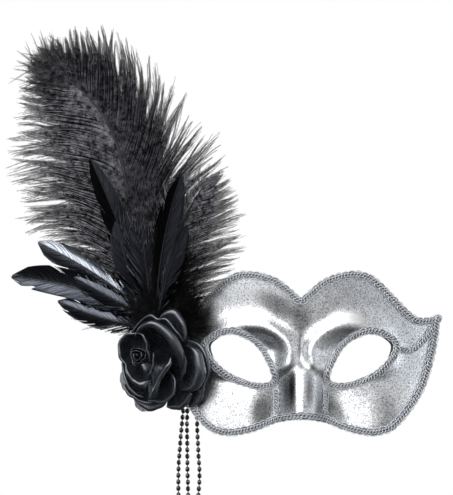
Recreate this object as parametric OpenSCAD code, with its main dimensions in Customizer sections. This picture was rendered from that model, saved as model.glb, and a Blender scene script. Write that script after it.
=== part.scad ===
// Silver half mask with gimp braid edging, a satin rose, black feathers and three bead strands.
// The mask faces -Y, +Z is up and +X is the wearer's left. The origin is midway between the inner
// faces of the two crests beside the nose bridge, level with the middle of the eyes. "left" and
// "right" are the wearer's.

/* [Mask] */
// Width between the two wing tips
mask_w = 167.2; // [158:0.2:180]
// Height from the lowest point of the cheeks to the top of the brows
mask_h = 99.2; // [92:0.2:108]
// Thickness of the moulded shell
shell_t = 1.6; // [1:0.1:2.4]
// Thickness of the silver facing cloth
facing_t = 0.4; // [0.3:0.1:0.6]
// Thickness of the black lining cloth
lining_t = 0.5; // [0.3:0.1:0.8]
// How far the wings sweep back from the face
wrap_depth = 60; // [50:1:64]
// How far the nose stands out at its lower end
nose_h = 15; // [12:0.5:18]

/* [Braid] */
// Width of the braid round the outer edge
edge_braid_w = 4.6; // [4:0.1:5]
// Width of the braid round the eyes, beside the nose and across the wings
inner_braid_w = 4; // [3.4:0.1:4.2]
// Thickness of the braid
braid_t = 1.4; // [1:0.1:1.8]

/* [Rose] */
// Radius of the rose across its outermost petals
rose_r = 30; // [28:0.5:31]
// Height of the bud above the backing
rose_h = 26; // [24:0.5:28]
// Angle that the rose turns away from straight ahead
rose_turn = 25; // [20:1:28]

/* [Feathers] */
// Thickness of a feather's web
web_t = 0.7; // [0.5:0.1:0.8]
// Radius of the ostrich shafts at the base
shaft_r = 1.1; // [0.8:0.1:1.2]

/* [Bead strands] */
// Diameter of a bead
bead_d = 2.7; // [2.4:0.1:2.9]
// Distance from one bead to the next
bead_pitch = 3.9; // [3.6:0.1:4.2]
// Diameter of the thread
thread_d = 0.6; // [0.4:0.1:0.8]

/* [Hidden] */

// ---- small helpers ----
function sq(v) = v * v;
function unit(v) = v / norm(v);
function clamp01(v) = min(max(v, 0), 1);
function ease(v) = sq(clamp01(v)) * (3 - 2 * clamp01(v));
function bell(d, w) = exp(-sq(d / w));
function flip(P) = [for (i = [len(P) - 1:-1:0]) P[i]];
function tris(q) = [[q[0], q[1], q[2]], [q[0], q[2], q[3]]];

// Catmull-Rom curve through the points of P, without its last point
function blend(a, b, c, d, t) =
    0.5 * (2 * b + (c - a) * t + (2 * a - 5 * b + 4 * c - d) * t * t
    + (3 * b - a - 3 * c + d) * t * t * t);
function curve(P, n) = let (m = len(P) - 1) [
    for (i = [0:m - 1], j = [0:n - 1])
        blend(P[max(i - 1, 0)], P[i], P[i + 1], P[min(i + 2, m)], j / n)
];
function whole(P, n) = concat(curve(P, n), [P[len(P) - 1]]);
function ring(P, n) = let (m = len(P)) [
    for (i = [0:m - 1], j = [0:n - 1])
        blend(P[(i + m - 1) % m], P[i], P[(i + 1) % m], P[(i + 2) % m], j / n)
];

// Distance along a polyline at each of its points, and the point at a given distance
function reach(P, i = 0, s = 0) = i >= len(P) ? [] :
    concat([s], reach(P, i + 1, i + 1 < len(P) ? s + norm(P[i + 1] - P[i]) : s));
function at(P, S, s) = [
    for (k = [0:len(P[0]) - 1]) lookup(s, [for (i = [0:len(P) - 1]) [S[i], P[i][k]]])
];
function evenly(P, n) = let (S = reach(P), L = S[len(S) - 1]) [
    for (i = [0:n - 1]) at(P, S, L * i / n)
];

// ---- outline of the mask and of one eye, wearer's left half ----
sx = mask_w / 167.2;
sz = mask_h / 99.2;
BROW_EDGE = [for (p = [[0, 37.5], [12, 47.8], [21, 51.7], [31, 53.5], [39, 52.4], [47, 47.6],
    [61, 33.3], [67, 27.6], [72.5, 25.3], [83.6, 26.6]]) [p.x * sx, p.y * sz]];
CHEEK_EDGE = [for (p = [[83.6, 26.6], [81.6, 9.5], [76.2, -12], [69, -26.5], [57, -41],
    [48, -45.2], [40, -45.7], [28, -43.2], [13, -37.6], [0, -35.9]]) [p.x * sx, p.y * sz]];
EYE = [for (p = [[17, -9], [20.8, -0.5], [27.5, 9.3], [38, 15.6], [47, 14.8], [55.4, 8.6],
    [50.5, -2], [38.7, -10.4], [26, -14], [18.6, -13]]) [p.x * sx, p.y * sz]];
EYE_MID = [36 * sx, 1.5 * sz];
NOTCH_Z = BROW_EDGE[0].y;
CHIN_Z = CHEEK_EDGE[len(CHEEK_EDGE) - 1].y;

// ---- relief of the moulded face ----
WRAP_HALF = 94 * sx;
function wrap(x) = wrap_depth * (1 - sqrt(1 - sq(x / WRAP_HALF)));
function lean(z) = 0.0004 * sq(max(z - 20, 0));
function flare(z) = let (low = -12 - z) 0.08 * (low + sqrt(sq(low) + 16));
// Distance outside the crest line that runs over the brow and down beside the bridge
function brow_gap(a, z) = 22 * (norm([(sqrt(sq(a) + 1.2) - 31) / 24.8, (z - 3.5) / 17]) - 1);
function rise(z) = 3.8 + 2.2 * ease((20 - z) / 22);
function crest(a, z) = let (gap = brow_gap(a, z),
    w = gap < 0 ? 5.8 + 1.6 * ease((z - 6) / 14) : 4.6 + 3.4 * ease((a - 12) / 14))
    rise(z) * bell(gap, w) * ease((z + 14) / 12) * ease((66 - a) / 22);
function groove(a, z) = 0.16 * rise(z) * ease((16 - z) / 12) * ease((z + 3) / 8) * bell(a, 3);
function socket(a, z) = 2.6 * ease(-brow_gap(a, z) / 11) * ease((z + 3) / 10) * ease((36 - a) / 14);
function nose(a, z) = let (s = 1 - pow((sqrt(sq(a) + 6) - 2.44) / 11, 1.5))
    (6 + (nose_h - 6) * max(-z, 0) / 41) * ease((5 - z) / 13) * (s + sqrt(sq(s) + 0.02)) / 2;
function cheek(a, z) =
    (6.5 * bell(a - 57, a < 57 ? 20 : 18) - 5 * bell(a - 16, 9)) * bell(z + 38, 22);
function relief(x, z) = let (a = abs(x))
    wrap(x) + lean(z) - flare(z) - norm([crest(a, z), nose(a, z)]) + groove(a, z)
    + socket(a, z) - cheek(a, z);
BACK_Y = relief(6, 0) + shell_t + lining_t + 0.1;
function face_y(x, z) = relief(x, z) - BACK_Y;
function face_n(x, z) = unit([
    (relief(x + 0.1, z) - relief(x - 0.1, z)) / 0.2, -1,
    (relief(x, z + 0.1) - relief(x, z - 0.1)) / 0.2]);
// Point of the moulded face, lifted out of it by h
function face(p, h = 0) = [p.x, face_y(p.x, p.y), p.y] + h * face_n(p.x, p.y);

// ---- one layer of the mask: a grid between each eye hole and the edge, both halves joined ----
N_BROW = 20;
N_CHEEK = 22;
N_MID = 16;
N = N_BROW + N_CHEEK + N_MID;
ROWS = [0, 0.1, 0.22, 0.38, 0.54, 0.7, 0.84, 0.93, 1];
M = len(ROWS) - 1;
EDGE_IN = 0.8;
HALF_EDGE = concat(evenly(whole(BROW_EDGE, 8), N_BROW), evenly(whole(CHEEK_EDGE, 8), N_CHEEK),
    [for (i = [0:N_MID - 1]) [0, CHIN_Z + (NOTCH_Z - CHIN_Z) * i / N_MID]]);
function on_middle(i) = i == 0 || i >= N_BROW + N_CHEEK;
function inward(P, i) = let (m = len(P), d = P[(i + 1) % m] - P[(i + m - 1) % m]) unit([d.y, -d.x]);
// The shell stops a little inside the braid's outer edge, but runs on across the middle
CUT_EDGE = [for (i = [0:N - 1]) on_middle(i)
    ? [0, HALF_EDGE[i].y + (i == 0 ? -EDGE_IN : i == N_BROW + N_CHEEK ? EDGE_IN : 0)]
    : HALF_EDGE[i] + EDGE_IN * inward(HALF_EDGE, i)];
EYE_LOOP = [for (p = ring(EYE, 6)) p - EYE_MID];
// Where a ray from the middle of the eye leaves the eye hole
function eye_hit(d) = [
    for (k = [0:len(EYE_LOOP) - 1])
        let (p = EYE_LOOP[k], q = EYE_LOOP[(k + 1) % len(EYE_LOOP)],
            a = cross(p, d), b = cross(q, d), h = a == b ? p : p + a / (a - b) * (q - p))
        if (a * b <= 0 && a != b && h * d > 0) h
][0];
GRID = [for (r = ROWS) [for (p = CUT_EDGE) EYE_MID + eye_hit(p - EYE_MID) * (1 - r)
    + (p - EYE_MID) * r]];
function id(s, l, i, j) = let (k = i % N)
    (((s == 1 && j == M && on_middle(k)) ? 0 : s) * 2 + l) * N * (M + 1) + j * N + k;
function turned(s, q) = s == 0 ? q : flip(q);

module layer(front, back) {
    points = [for (s = [0, 1], l = [0, 1], j = [0:M], i = [0:N - 1])
        let (p = GRID[j][i]) face([s == 0 ? p.x : -p.x, p.y], l == 0 ? front : back)];
    quads = [for (s = [0, 1], i = [0:N - 1], j = [0:M]) each [
        if (j < M)
            turned(s, [id(s, 0, i, j + 1), id(s, 0, i + 1, j + 1), id(s, 0, i + 1, j), id(s, 0, i, j)]),
        if (j < M)
            turned(s, [id(s, 1, i + 1, j), id(s, 1, i + 1, j + 1), id(s, 1, i, j + 1), id(s, 1, i, j)]),
        if (j == 0) turned(s, [id(s, 0, i, 0), id(s, 0, i + 1, 0), id(s, 1, i + 1, 0), id(s, 1, i, 0)]),
        if (j == M && !(on_middle(i) && on_middle((i + 1) % N)))
            turned(s, [id(s, 0, i + 1, M), id(s, 0, i, M), id(s, 1, i, M), id(s, 1, i + 1, M)])
    ]];
    polyhedron(points, [for (q = quads) each tris(q)], convexity = 8);
}

module mask_shell() { color("dimgray") layer(0, -shell_t); }
module mask_facing() { color("silver") layer(facing_t + 0.05, 0.05); }
module mask_lining() { color("black") layer(-shell_t - 0.05, -shell_t - 0.05 - lining_t); }

// ---- braid: a low flat strip laid on the facing along a path in x and z ----
LIFT = facing_t + 0.3;
function side_of(P, i, closed) = let (m = len(P),
    a = closed ? P[(i + m - 1) % m] : P[max(i - 1, 0)],
    b = closed ? P[(i + 1) % m] : P[min(i + 1, m - 1)]) unit([(b - a).y, -(b - a).x]);
module strip(P, w, closed, lift = LIFT) {
    m = len(P);
    section = [[-0.5, 0], [-0.5, 0.6], [-0.25, 1], [0.25, 1], [0.5, 0.6], [0.5, 0]];
    k = len(section);
    points = [for (i = [0:m - 1], c = section)
        face(P[i] + w * c.x * side_of(P, i, closed), lift + braid_t * c.y)];
    walls = [for (i = [0:closed ? m - 1 : m - 2], j = [0:k - 1]) each
        tris([i * k + j, ((i + 1) % m) * k + j, ((i + 1) % m) * k + (j + 1) % k, i * k + (j + 1) % k])];
    ends = closed ? [] : [[for (j = [0:k - 1]) j], [for (j = [k - 1:-1:0]) (m - 1) * k + j]];
    polyhedron(points, concat(walls, ends), convexity = 8);
}
function mirrored(P) = [for (p = flip(P)) [-p.x, p.y]];
function moved_in(P, d) = [for (i = [0:len(P) - 1]) P[i] + d * side_of(P, i, true)];

HALF_RIM = concat(evenly(whole(BROW_EDGE, 8), N_BROW), evenly(whole(CHEEK_EDGE, 8), N_CHEEK));
RIM = concat(HALF_RIM, [[0, CHIN_Z]], [for (i = [len(HALF_RIM) - 1:-1:1]) [-HALF_RIM[i].x, HALF_RIM[i].y]]);
EYE_PATH = moved_in(evenly(concat(ring(EYE, 6), [EYE[0]]), 30), -inner_braid_w / 2 - 0.3);
NOSE_PATH = [[14.6, -17.6], [14.4, -22], [14.2, -26], [14.2, -29], [14.2, -32.2]];
WING_PATH = evenly(whole([[61.8, 6], [65, 5.4], [70, 8.3], [75, 13.5], [77.4, 16.8]], 6), 9);

module edge_braid() { color("lightsteelblue") strip(moved_in(RIM, edge_braid_w / 2), edge_braid_w, true); }
module eye_braid(P) { color("lightsteelblue") strip(P, inner_braid_w, true); }
module wing_braid(P) { color("lightsteelblue") strip(P, inner_braid_w, false); }
// The braid beside the nose bridges the hollow at its foot
module nose_braid(P) { color("lightsteelblue") strip(P, inner_braid_w, false, LIFT + 0.7); }

// ---- tabs for the tie ribbons, standing back from the inside of each wing ----
TAB_X = 74 * sx;
TAB_Z = 2;
TAB_H = 12;
TAB_LONG = 14;
TAB_T = 1;
TAB_Y = face_y(TAB_X, TAB_Z) + 4.6;
EYELET_Y = TAB_Y + TAB_LONG - 5.5;
EYELET_R = 1.9;
EYELET_WALL = 0.5;
EYELET_FLANGE = 3.3;
EYELET_LONG = 2.2;
module tie_tab(s) {
    color("black") difference() {
        translate([s * TAB_X - TAB_T / 2, TAB_Y, TAB_Z - TAB_H / 2]) cube([TAB_T, TAB_LONG, TAB_H]);
        translate([s * TAB_X, EYELET_Y, TAB_Z]) rotate([0, 90, 0])
            cylinder(r = EYELET_R + EYELET_WALL + 0.05, h = 3 * TAB_T, center = true, $fn = 48);
    }
}
module tie_eyelet(s) {
    barrel = EYELET_R + EYELET_WALL;
    lip = (EYELET_LONG - TAB_T) / 2 - 0.05;
    color("gray") translate([s * TAB_X, EYELET_Y, TAB_Z]) rotate([0, 90, 0])
        rotate_extrude($fn = 48) polygon([
            [EYELET_R, -EYELET_LONG / 2], [EYELET_FLANGE, -EYELET_LONG / 2],
            [EYELET_FLANGE, -EYELET_LONG / 2 + lip], [barrel, -EYELET_LONG / 2 + lip],
            [barrel, EYELET_LONG / 2 - lip], [EYELET_FLANGE, EYELET_LONG / 2 - lip],
            [EYELET_FLANGE, EYELET_LONG / 2], [EYELET_R, EYELET_LONG / 2]]);
}

// ---- rose, turned outwards on the wearer's right wing; its axis is -Y in its own frame ----
ROSE_AT = [-80, 17, 0];
BACKING_R = 15;
BACKING_T = 2.5;
NECK_R = 5;
NECK_LONG = 4.4;
module on_rose() { translate(ROSE_AT) rotate([0, 0, -rose_turn]) children(); }
module rose_backing() {
    color("black") on_rose() rotate([-90, 0, 0]) {
        cylinder(r = BACKING_R, h = BACKING_T, $fn = 64);
        cylinder(r = NECK_R, h = BACKING_T + NECK_LONG, $fn = 48);
    }
}
module rose_bud() {
    color([0.05, 0.05, 0.07]) on_rose() translate([-7, 0, 2]) rotate([90, 0, 0])
        translate([0, 0, 0.2]) rotate_extrude($fn = 48) polygon([
            [0, 0], [3, 0], [4.6, 8], [5.2, 15], [4.4, rose_h - 4], [2.6, rose_h], [0, rose_h - 2]]);
}
// A petal cupped about the axis: a is where it sits, wide its spread, r and h run from foot to rim
module petal(a, wide, mid, r, h, tuck, fold, t) {
    nu = 8;
    nv = 4;
    sheet = [for (l = [0, 1], v = [0:nv], u = [0:nu])
        let (q = v / nv, s = 2 * u / nu - 1, spread = wide / 2 * (0.5 + 0.5 * sin(90 * q)),
            turn = a + spread * s, rad = r[0] + (r[1] - r[0]) * pow(q, 1.25) + tuck * s,
            high = h[0] + (h[1] - h[0]) * sin(90 * q) - fold * sq(q * max(s, 0)),
            lay = atan2(h[1] - h[0], r[1] - r[0]))
            [mid.x + (rad + l * t * sin(lay)) * cos(turn), -high + l * t * cos(lay),
                mid.y + (rad + l * t * sin(lay)) * sin(turn)]];
    k = (nu + 1) * (nv + 1);
    function at(l, v, u) = l * k + v * (nu + 1) + u;
    quads = [
        for (v = [0:nv - 1], u = [0:nu - 1]) each [
            [at(0, v, u), at(0, v, u + 1), at(0, v + 1, u + 1), at(0, v + 1, u)],
            [at(1, v + 1, u), at(1, v + 1, u + 1), at(1, v, u + 1), at(1, v, u)]],
        for (v = [0:nv - 1]) each [
            [at(0, v + 1, 0), at(1, v + 1, 0), at(1, v, 0), at(0, v, 0)],
            [at(0, v, nu), at(1, v, nu), at(1, v + 1, nu), at(0, v + 1, nu)]],
        for (u = [0:nu - 1]) each [
            [at(0, 0, u), at(1, 0, u), at(1, 0, u + 1), at(0, 0, u + 1)],
            [at(0, nv, u + 1), at(1, nv, u + 1), at(1, nv, u), at(0, nv, u)]]
    ];
    color([0.06, 0.06, 0.08]) on_rose() polyhedron(sheet, [for (q = quads) each tris(q)], convexity = 6);
}
PETAL_T = 0.5;
module inner_petal(n) { petal(60 + 120 * n, 146, [-7, 2], [5.8, 8.6], [1.2, rose_h - 1], 0.9, 3, PETAL_T); }
module middle_petal(n) { petal(20 + 90 * n, 116, [-5, 1], [11.2, 14.8], [1, rose_h - 6], 1.1, 4, PETAL_T); }
module outer_petal(n) { petal(50 + 72 * n, 98, [-2, 0], [16, 22.5], [0.8, 15.5], 1.2, 4, PETAL_T); }
module guard_petal(n) { petal(5 + 90 * n, 116, [0, 0], [20, rose_r], [0, 8], 1.2, 3, PETAL_T); }
module sheer_petal(n) { petal(200 + 44 * n, 38, [0, 0], [19, rose_r + 1], [-2.2, 2.6], 0, 1, PETAL_T); }

// ---- feathers: flat webs in planes of their own depth, so that they pass when they sway ----
QUILL = [-88, 16];
// Leaf from foot to tip, bowed sideways by bow, as points in x and z
function leaf(foot, tip, half, bow) = let (d = tip - foot, n = [-d.y, d.x] / norm(d), k = 12) concat(
    [for (i = [0:k]) foot + d * i / k + n * (bow * sin(180 * i / k) + half * blade(i / k))],
    [for (i = [k - 1:-1:0]) foot + d * i / k + n * (bow * sin(180 * i / k) - half * blade(i / k))]);
function blade(t) = t >= 1 ? 0 : 0.12 + 0.88 * pow(sin(180 * pow(t, 0.8)), 0.7) * (t < 0.97 ? 1 : 0.6);
// A web at depth y, turned about its foot so that its right side comes forward
module web(P, y, turn = 0, t = web_t) {
    translate([QUILL.x, y, 0]) rotate([0, 0, -turn]) rotate([90, 0, 0])
        translate([-QUILL.x, 0, -t / 2]) linear_extrude(t) polygon(P);
}
module shaft(P, y, turn, r0, r1) {
    k = 8;
    m = len(P);
    points = [for (i = [0:m - 1], j = [0:k - 1])
        let (d = unit(P[min(i + 1, m - 1)] - P[max(i - 1, 0)]), r = r0 + (r1 - r0) * i / (m - 1))
        [P[i].x - QUILL.x - d.y * r * cos(360 * j / k), r * sin(360 * j / k),
            P[i].y + d.x * r * cos(360 * j / k)]];
    walls = [for (i = [0:m - 2], j = [0:k - 1]) each
        tris([i * k + j, i * k + (j + 1) % k, (i + 1) * k + (j + 1) % k, (i + 1) * k + j])];
    translate([QUILL.x, y, 0]) rotate([0, 0, -turn]) polyhedron(points,
        concat(walls, [[for (j = [k - 1:-1:0]) j], [for (j = [0:k - 1]) (m - 1) * k + j]]), convexity = 4);
}

PAD_AT = [-90, 34, 7];
PAD_R = 6.5;
PAD_LONG = 14;
module feather_pad() {
    color("black") translate(PAD_AT) rotate([90, 0, 0])
        cylinder(r = PAD_R, h = PAD_LONG, center = true, $fn = 48);
}

// Large ostrich plume, curling over to the wearer's right at its tip
PLUME_Y = 38;
PLUME_LINE = [QUILL, [-96, 60], [-104, 100], [-112.5, 134], [-127, 157], [-150, 176]];
PLUME_EDGE = [[-88, 20], [-128, 48], [-162, 72], [-177, 104], [-178, 136], [-168, 168], [-152, 190],
    [-128, 201], [-104, 192], [-78, 168], [-54, 148], [-43, 118], [-56, 92], [-80, 62]];
module plume_vane() { color([0.08, 0.08, 0.09]) web(ring(PLUME_EDGE, 4), PLUME_Y); }
module plume_shaft() {
    color("black") shaft(whole(PLUME_LINE, 3), PLUME_Y - web_t / 2 - shaft_r - 0.1, 0, shaft_r, 0.3);
}

// Short ostrich plume, leaning across the top of the mask and turned forward to clear it
SHORT_Y = 30;
SHORT_TURN = 27;
SHORT_LINE = [QUILL, [-80, 50], [-68, 84], [-54, 106]];
SHORT_EDGE = [[-87, 22], [-86, 60], [-76, 96], [-56, 112], [-32, 108], [-16, 88], [-6, 66], [-30, 60],
    [-62, 50]];
module short_plume_vane() { color([0.15, 0.15, 0.16]) web(ring(SHORT_EDGE, 4), SHORT_Y, SHORT_TURN); }
module short_plume_shaft() {
    color("black") shaft(whole(SHORT_LINE, 3), SHORT_Y - web_t / 2 - 1 - 0.1, SHORT_TURN, 0.8, 0.3);
}

// Glossy hackles: foot, tip, half width, bow, depth and turn of each
SIDE = [
    [[-91, 28], [-158, 71], 9, -3, 33, 0],
    [[-93, 23], [-175, 50], 8.5, -4, 34.2, 0],
    [[-92, 19], [-147, 35.5], 5, 2, 31.8, 0],
    [[-91, 24], [-137, 54], 6, -2, 30.6, 0]
];
CREST = [
    [[-91, 26], [-127, 122], 7, -2, 29.3, 0],
    [[-89, 26], [-98, 110], 9, 1, 24.3, 0],
    [[-87, 26], [-69, 112], 8, -2, 23.1, 30],
    [[-86, 24], [-65, 82], 4.5, -2, 21.8, 30],
    [[-90, 24], [-112, 84], 6, 2, 27.3, 0]
];
module hackle(f) { color([0.04, 0.04, 0.06]) web(leaf(f[0], f[1], f[2], f[3]), f[4], f[5]); }

// ---- bead strands, hung behind the wearer's right cheek ----
STRAND_Z = -25;
BAR_R = 0.5;
// x of the anchor, depth, and the thread's route down from the lead bead, as x and z
STRANDS = [
    [-70.6, 31.4, [[-70.6, -29.2], [-71.5, -38], [-72.6, -51], [-73.6, -66], [-73.6, -84], [-73, -104],
        [-72.6, -126]]],
    [-68.2, 27.2, [[-68.2, -29.2], [-68.5, -38], [-68.3, -51], [-68.2, -66], [-67.8, -82], [-68.2, -104],
        [-68.4, -129]]],
    [-62.6, 23, [[-62.6, -29.2], [-62.3, -42], [-61.6, -56], [-60.9, -70], [-61.7, -84], [-62, -104],
        [-61.8, -123]]]
];
PATCH_AT = [-68.3, -21];
PATCH_R = 6.5;
PATCH_T = 1;
PATCH_FRONT = face(PATCH_AT, -shell_t - lining_t - 1);
BAR_PAST = 1.4;
// A felt disc glued inside the wing, with a stitched bar for each strand to hang from
module strand_patch() {
    n = face_n(PATCH_AT.x, PATCH_AT.y);
    color("black") {
        translate(PATCH_FRONT) rotate([0, 0, atan2(n.y, n.x)]) rotate([0, -90 - asin(n.z), 0])
            cylinder(r = PATCH_R, h = PATCH_T, $fn = 48);
        for (s = STRANDS) {
            d = [s[0] - PATCH_FRONT.x, STRAND_Z - PATCH_FRONT.z];
            start = PATCH_FRONT.y - (d.x * n.x + d.y * n.z) / n.y + PATCH_T / 2;
            translate([s[0], start, STRAND_Z]) rotate([-90, 0, 0])
                cylinder(r = BAR_R, h = s[1] + BAR_PAST - start, $fn = 24);
        }
    }
}
LOOP_R = BAR_R + 0.25 + thread_d / 2;
module strand_lead(s) {
    color([0.04, 0.04, 0.05]) translate([s[0], s[1], STRAND_Z]) {
        rotate([90, 0, 0]) rotate_extrude($fn = 32) translate([LOOP_R, 0]) circle(d = thread_d, $fn = 16);
        translate([0, 0, -LOOP_R - bead_d / 2]) sphere(d = bead_d, $fn = 32);
    }
}
function strand_run(s) = [for (p = whole(s[2], 6)) [p.x, s[1], p.y]];
BEAD_START = 1.7;
module strand_thread(s) {
    run = strand_run(s);
    S = reach(run);
    last = S[len(S) - 1];
    m = 28;
    k = 8;
    points = [for (i = [0:m], j = [0:k - 1])
        at(run, S, last * i / m) + thread_d / 2 * [cos(360 * j / k), sin(360 * j / k), 0]];
    walls = [for (i = [0:m - 1], j = [0:k - 1]) each
        tris([i * k + j, (i + 1) * k + j, (i + 1) * k + (j + 1) % k, i * k + (j + 1) % k])];
    color("black") polyhedron(points,
        concat(walls, [[for (j = [0:k - 1]) j], [for (j = [k - 1:-1:0]) m * k + j]]), convexity = 4);
}
module strand_beads(s) {
    run = strand_run(s);
    S = reach(run);
    last = S[len(S) - 1];
    color([0.04, 0.04, 0.05]) for (d = [BEAD_START:bead_pitch:last])
        translate(at(run, S, d)) sphere(d = bead_d, $fn = 32);
}

mask_shell();
mask_facing();
mask_lining();
edge_braid();
eye_braid(EYE_PATH);  // eye_braid_left
eye_braid(mirrored(EYE_PATH));  // eye_braid_right
nose_braid(NOSE_PATH);  // nose_braid_left
nose_braid(mirrored(NOSE_PATH));  // nose_braid_right
wing_braid(WING_PATH);  // wing_braid_left
wing_braid(mirrored(WING_PATH));  // wing_braid_right
tie_tab(1);  // tie_tab_left
tie_tab(-1);  // tie_tab_right
tie_eyelet(1);  // tie_eyelet_left
tie_eyelet(-1);  // tie_eyelet_right
rose_backing();
rose_bud();
inner_petal(0);  // inner_petal_1
inner_petal(1);  // inner_petal_2
inner_petal(2);  // inner_petal_3
middle_petal(0);  // middle_petal_1
middle_petal(1);  // middle_petal_2
middle_petal(2);  // middle_petal_3
middle_petal(3);  // middle_petal_4
outer_petal(0);  // outer_petal_1
outer_petal(1);  // outer_petal_2
outer_petal(2);  // outer_petal_3
outer_petal(3);  // outer_petal_4
outer_petal(4);  // outer_petal_5
guard_petal(0);  // guard_petal_1
guard_petal(1);  // guard_petal_2
guard_petal(2);  // guard_petal_3
guard_petal(3);  // guard_petal_4
sheer_petal(0);  // sheer_petal_1
sheer_petal(1);  // sheer_petal_2
feather_pad();
plume_shaft();
plume_vane();
short_plume_shaft();
short_plume_vane();
hackle(SIDE[0]);  // side_feather_1
hackle(SIDE[1]);  // side_feather_2
hackle(SIDE[2]);  // side_feather_3
hackle(SIDE[3]);  // side_feather_4
hackle(CREST[0]);  // crest_feather_1
hackle(CREST[1]);  // crest_feather_2
hackle(CREST[2]);  // crest_feather_3
hackle(CREST[3]);  // crest_feather_4
hackle(CREST[4]);  // crest_feather_5
strand_patch();
strand_lead(STRANDS[0]);  // strand_1_lead
strand_thread(STRANDS[0]);  // strand_1_thread
strand_beads(STRANDS[0]);  // strand_1_beads
strand_lead(STRANDS[1]);  // strand_2_lead
strand_thread(STRANDS[1]);  // strand_2_thread
strand_beads(STRANDS[1]);  // strand_2_beads
strand_lead(STRANDS[2]);  // strand_3_lead
strand_thread(STRANDS[2]);  // strand_3_thread
strand_beads(STRANDS[2]);  // strand_3_beads
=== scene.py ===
"""Looks of a silver half mask: foil face, gimp braid, satin rose, ostrich plumes, hackles and bead strands.

Shapes are worked out in millimetres, with y negative towards the viewer, and scaled when a mesh is made.
"""
import math

import bmesh
import bpy
import numpy as np
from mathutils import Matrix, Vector


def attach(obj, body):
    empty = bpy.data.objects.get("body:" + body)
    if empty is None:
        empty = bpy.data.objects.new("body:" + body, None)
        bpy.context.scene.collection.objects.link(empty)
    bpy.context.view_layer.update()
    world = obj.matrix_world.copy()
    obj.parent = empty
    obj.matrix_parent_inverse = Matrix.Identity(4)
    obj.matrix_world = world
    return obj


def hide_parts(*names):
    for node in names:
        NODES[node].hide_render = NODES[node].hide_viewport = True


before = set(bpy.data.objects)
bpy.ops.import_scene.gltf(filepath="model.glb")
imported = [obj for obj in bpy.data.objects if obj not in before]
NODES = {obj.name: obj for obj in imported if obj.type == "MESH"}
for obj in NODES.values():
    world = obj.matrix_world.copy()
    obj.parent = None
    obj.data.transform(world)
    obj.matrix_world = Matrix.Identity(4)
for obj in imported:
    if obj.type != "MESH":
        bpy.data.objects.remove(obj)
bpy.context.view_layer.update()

MM = 0.001
rng = np.random.default_rng(23)


# ---- materials
def material(name, base, rough, metallic=0.0, spec=0.5, coat=0.0, coat_rough=0.1, sheen=0.0, tint=(1, 1, 1)):
    """A Principled material, its node tree and its shader, which holds the constants on its own sockets."""
    m = bpy.data.materials.new(name)
    m.use_nodes = True
    p = m.node_tree.nodes["Principled BSDF"]
    for socket, value in {"Base Color": (*base, 1), "Roughness": rough, "Metallic": metallic,
                          "Specular IOR Level": spec, "Specular Tint": (*tint, 1), "Coat Weight": coat,
                          "Coat Roughness": coat_rough, "Sheen Weight": sheen}.items():
        p.inputs[socket].default_value = value
    return m, m.node_tree, p


def add(nt, kind, **values):
    """A new node, with each value set on its input or, failing that, on its property of that name."""
    n = nt.nodes.new(kind)
    for k, v in values.items():
        if k in n.inputs:
            n.inputs[k].default_value = v
        else:
            setattr(n, k, v)
    return n


def coords(nt, source="Object", scale=(1, 1, 1)):
    c, m = add(nt, "ShaderNodeTexCoord"), add(nt, "ShaderNodeMapping")
    m.inputs["Scale"].default_value = scale
    nt.links.new(c.outputs[source], m.inputs["Vector"])
    return m.outputs["Vector"]


def noise(nt, vector, scale, detail=3.0, rough=0.5):
    n = add(nt, "ShaderNodeTexNoise", Scale=scale, Detail=detail, Roughness=rough)
    nt.links.new(vector, n.inputs["Vector"])
    return n.outputs["Fac"]


def ramp(nt, fac, stops):
    """A colour ramp. Each stop is a position and a colour, or one number for a grey."""
    r = add(nt, "ShaderNodeValToRGB")
    while len(r.color_ramp.elements) < len(stops):
        r.color_ramp.elements.new(0.5)
    for e, (at, c) in zip(r.color_ramp.elements, stops):
        e.position, e.color = at, (*(c if hasattr(c, "__len__") else (c, c, c)), 1)
    nt.links.new(fac, r.inputs["Fac"])
    return r.outputs["Color"]


def drive(nt, p, socket, fac, stops):
    """Leads a factor through a ramp into a socket of the shader p."""
    nt.links.new(ramp(nt, fac, stops), p.inputs[socket])


def bump(nt, p, height, strength, distance):
    b = add(nt, "ShaderNodeBump", Strength=strength, Distance=distance)
    nt.links.new(height, b.inputs["Height"])
    old = p.inputs["Normal"].links
    if old:
        nt.links.new(old[0].from_socket, b.inputs["Normal"])
    nt.links.new(b.outputs["Normal"], p.inputs["Normal"])


def times(nt, one, two, blend="MULTIPLY"):
    tone = add(nt, "ShaderNodeMix", data_type="RGBA", blend_type=blend, Factor=1.0)
    nt.links.new(one, tone.inputs[6])
    nt.links.new(two, tone.inputs[7])
    return tone.outputs[2]


# Ovals of the foil where shade is painted into its colour: x, z, the two radii and a lean in degrees, then
# the share of the colour that is kept. Ovals where highlights are painted lighter have the same but the last.
PAINTED_SHADE_OVALS = [(-14, 33, 20, 9, 27, 0.4), (0, 24, 9, 15, 0, 0.48), (0.6, 10, 3.4, 11, 0, 0.5),
          (-7.2, -20, 5.6, 19, 0, 0.32), (5.4, -20, 3.6, 18, 0, 0.3), (10, -22, 3.6, 16, 0, 0.6),
          (-24, -31, 10, 15, 0, 0.36), (20.5, -32, 9, 16, -35, 0.3), (-57, 25, 10, 17, 0, 0.5),
          (-48, -27, 22, 20, 0, 0.6), (-4.8, -14, 2.8, 13, 6, 0.4), (-5.2, -14, 3.0, 22, 0, 0.3),
          (49, -31, 12, 17, -20, 0.6)]
PAINTED_LIGHT_OVALS = [(30, 25, 15, 6.5, 12), (9, -5, 5, 4, 0), (-30, 27, 16, 6, -10)]


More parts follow.
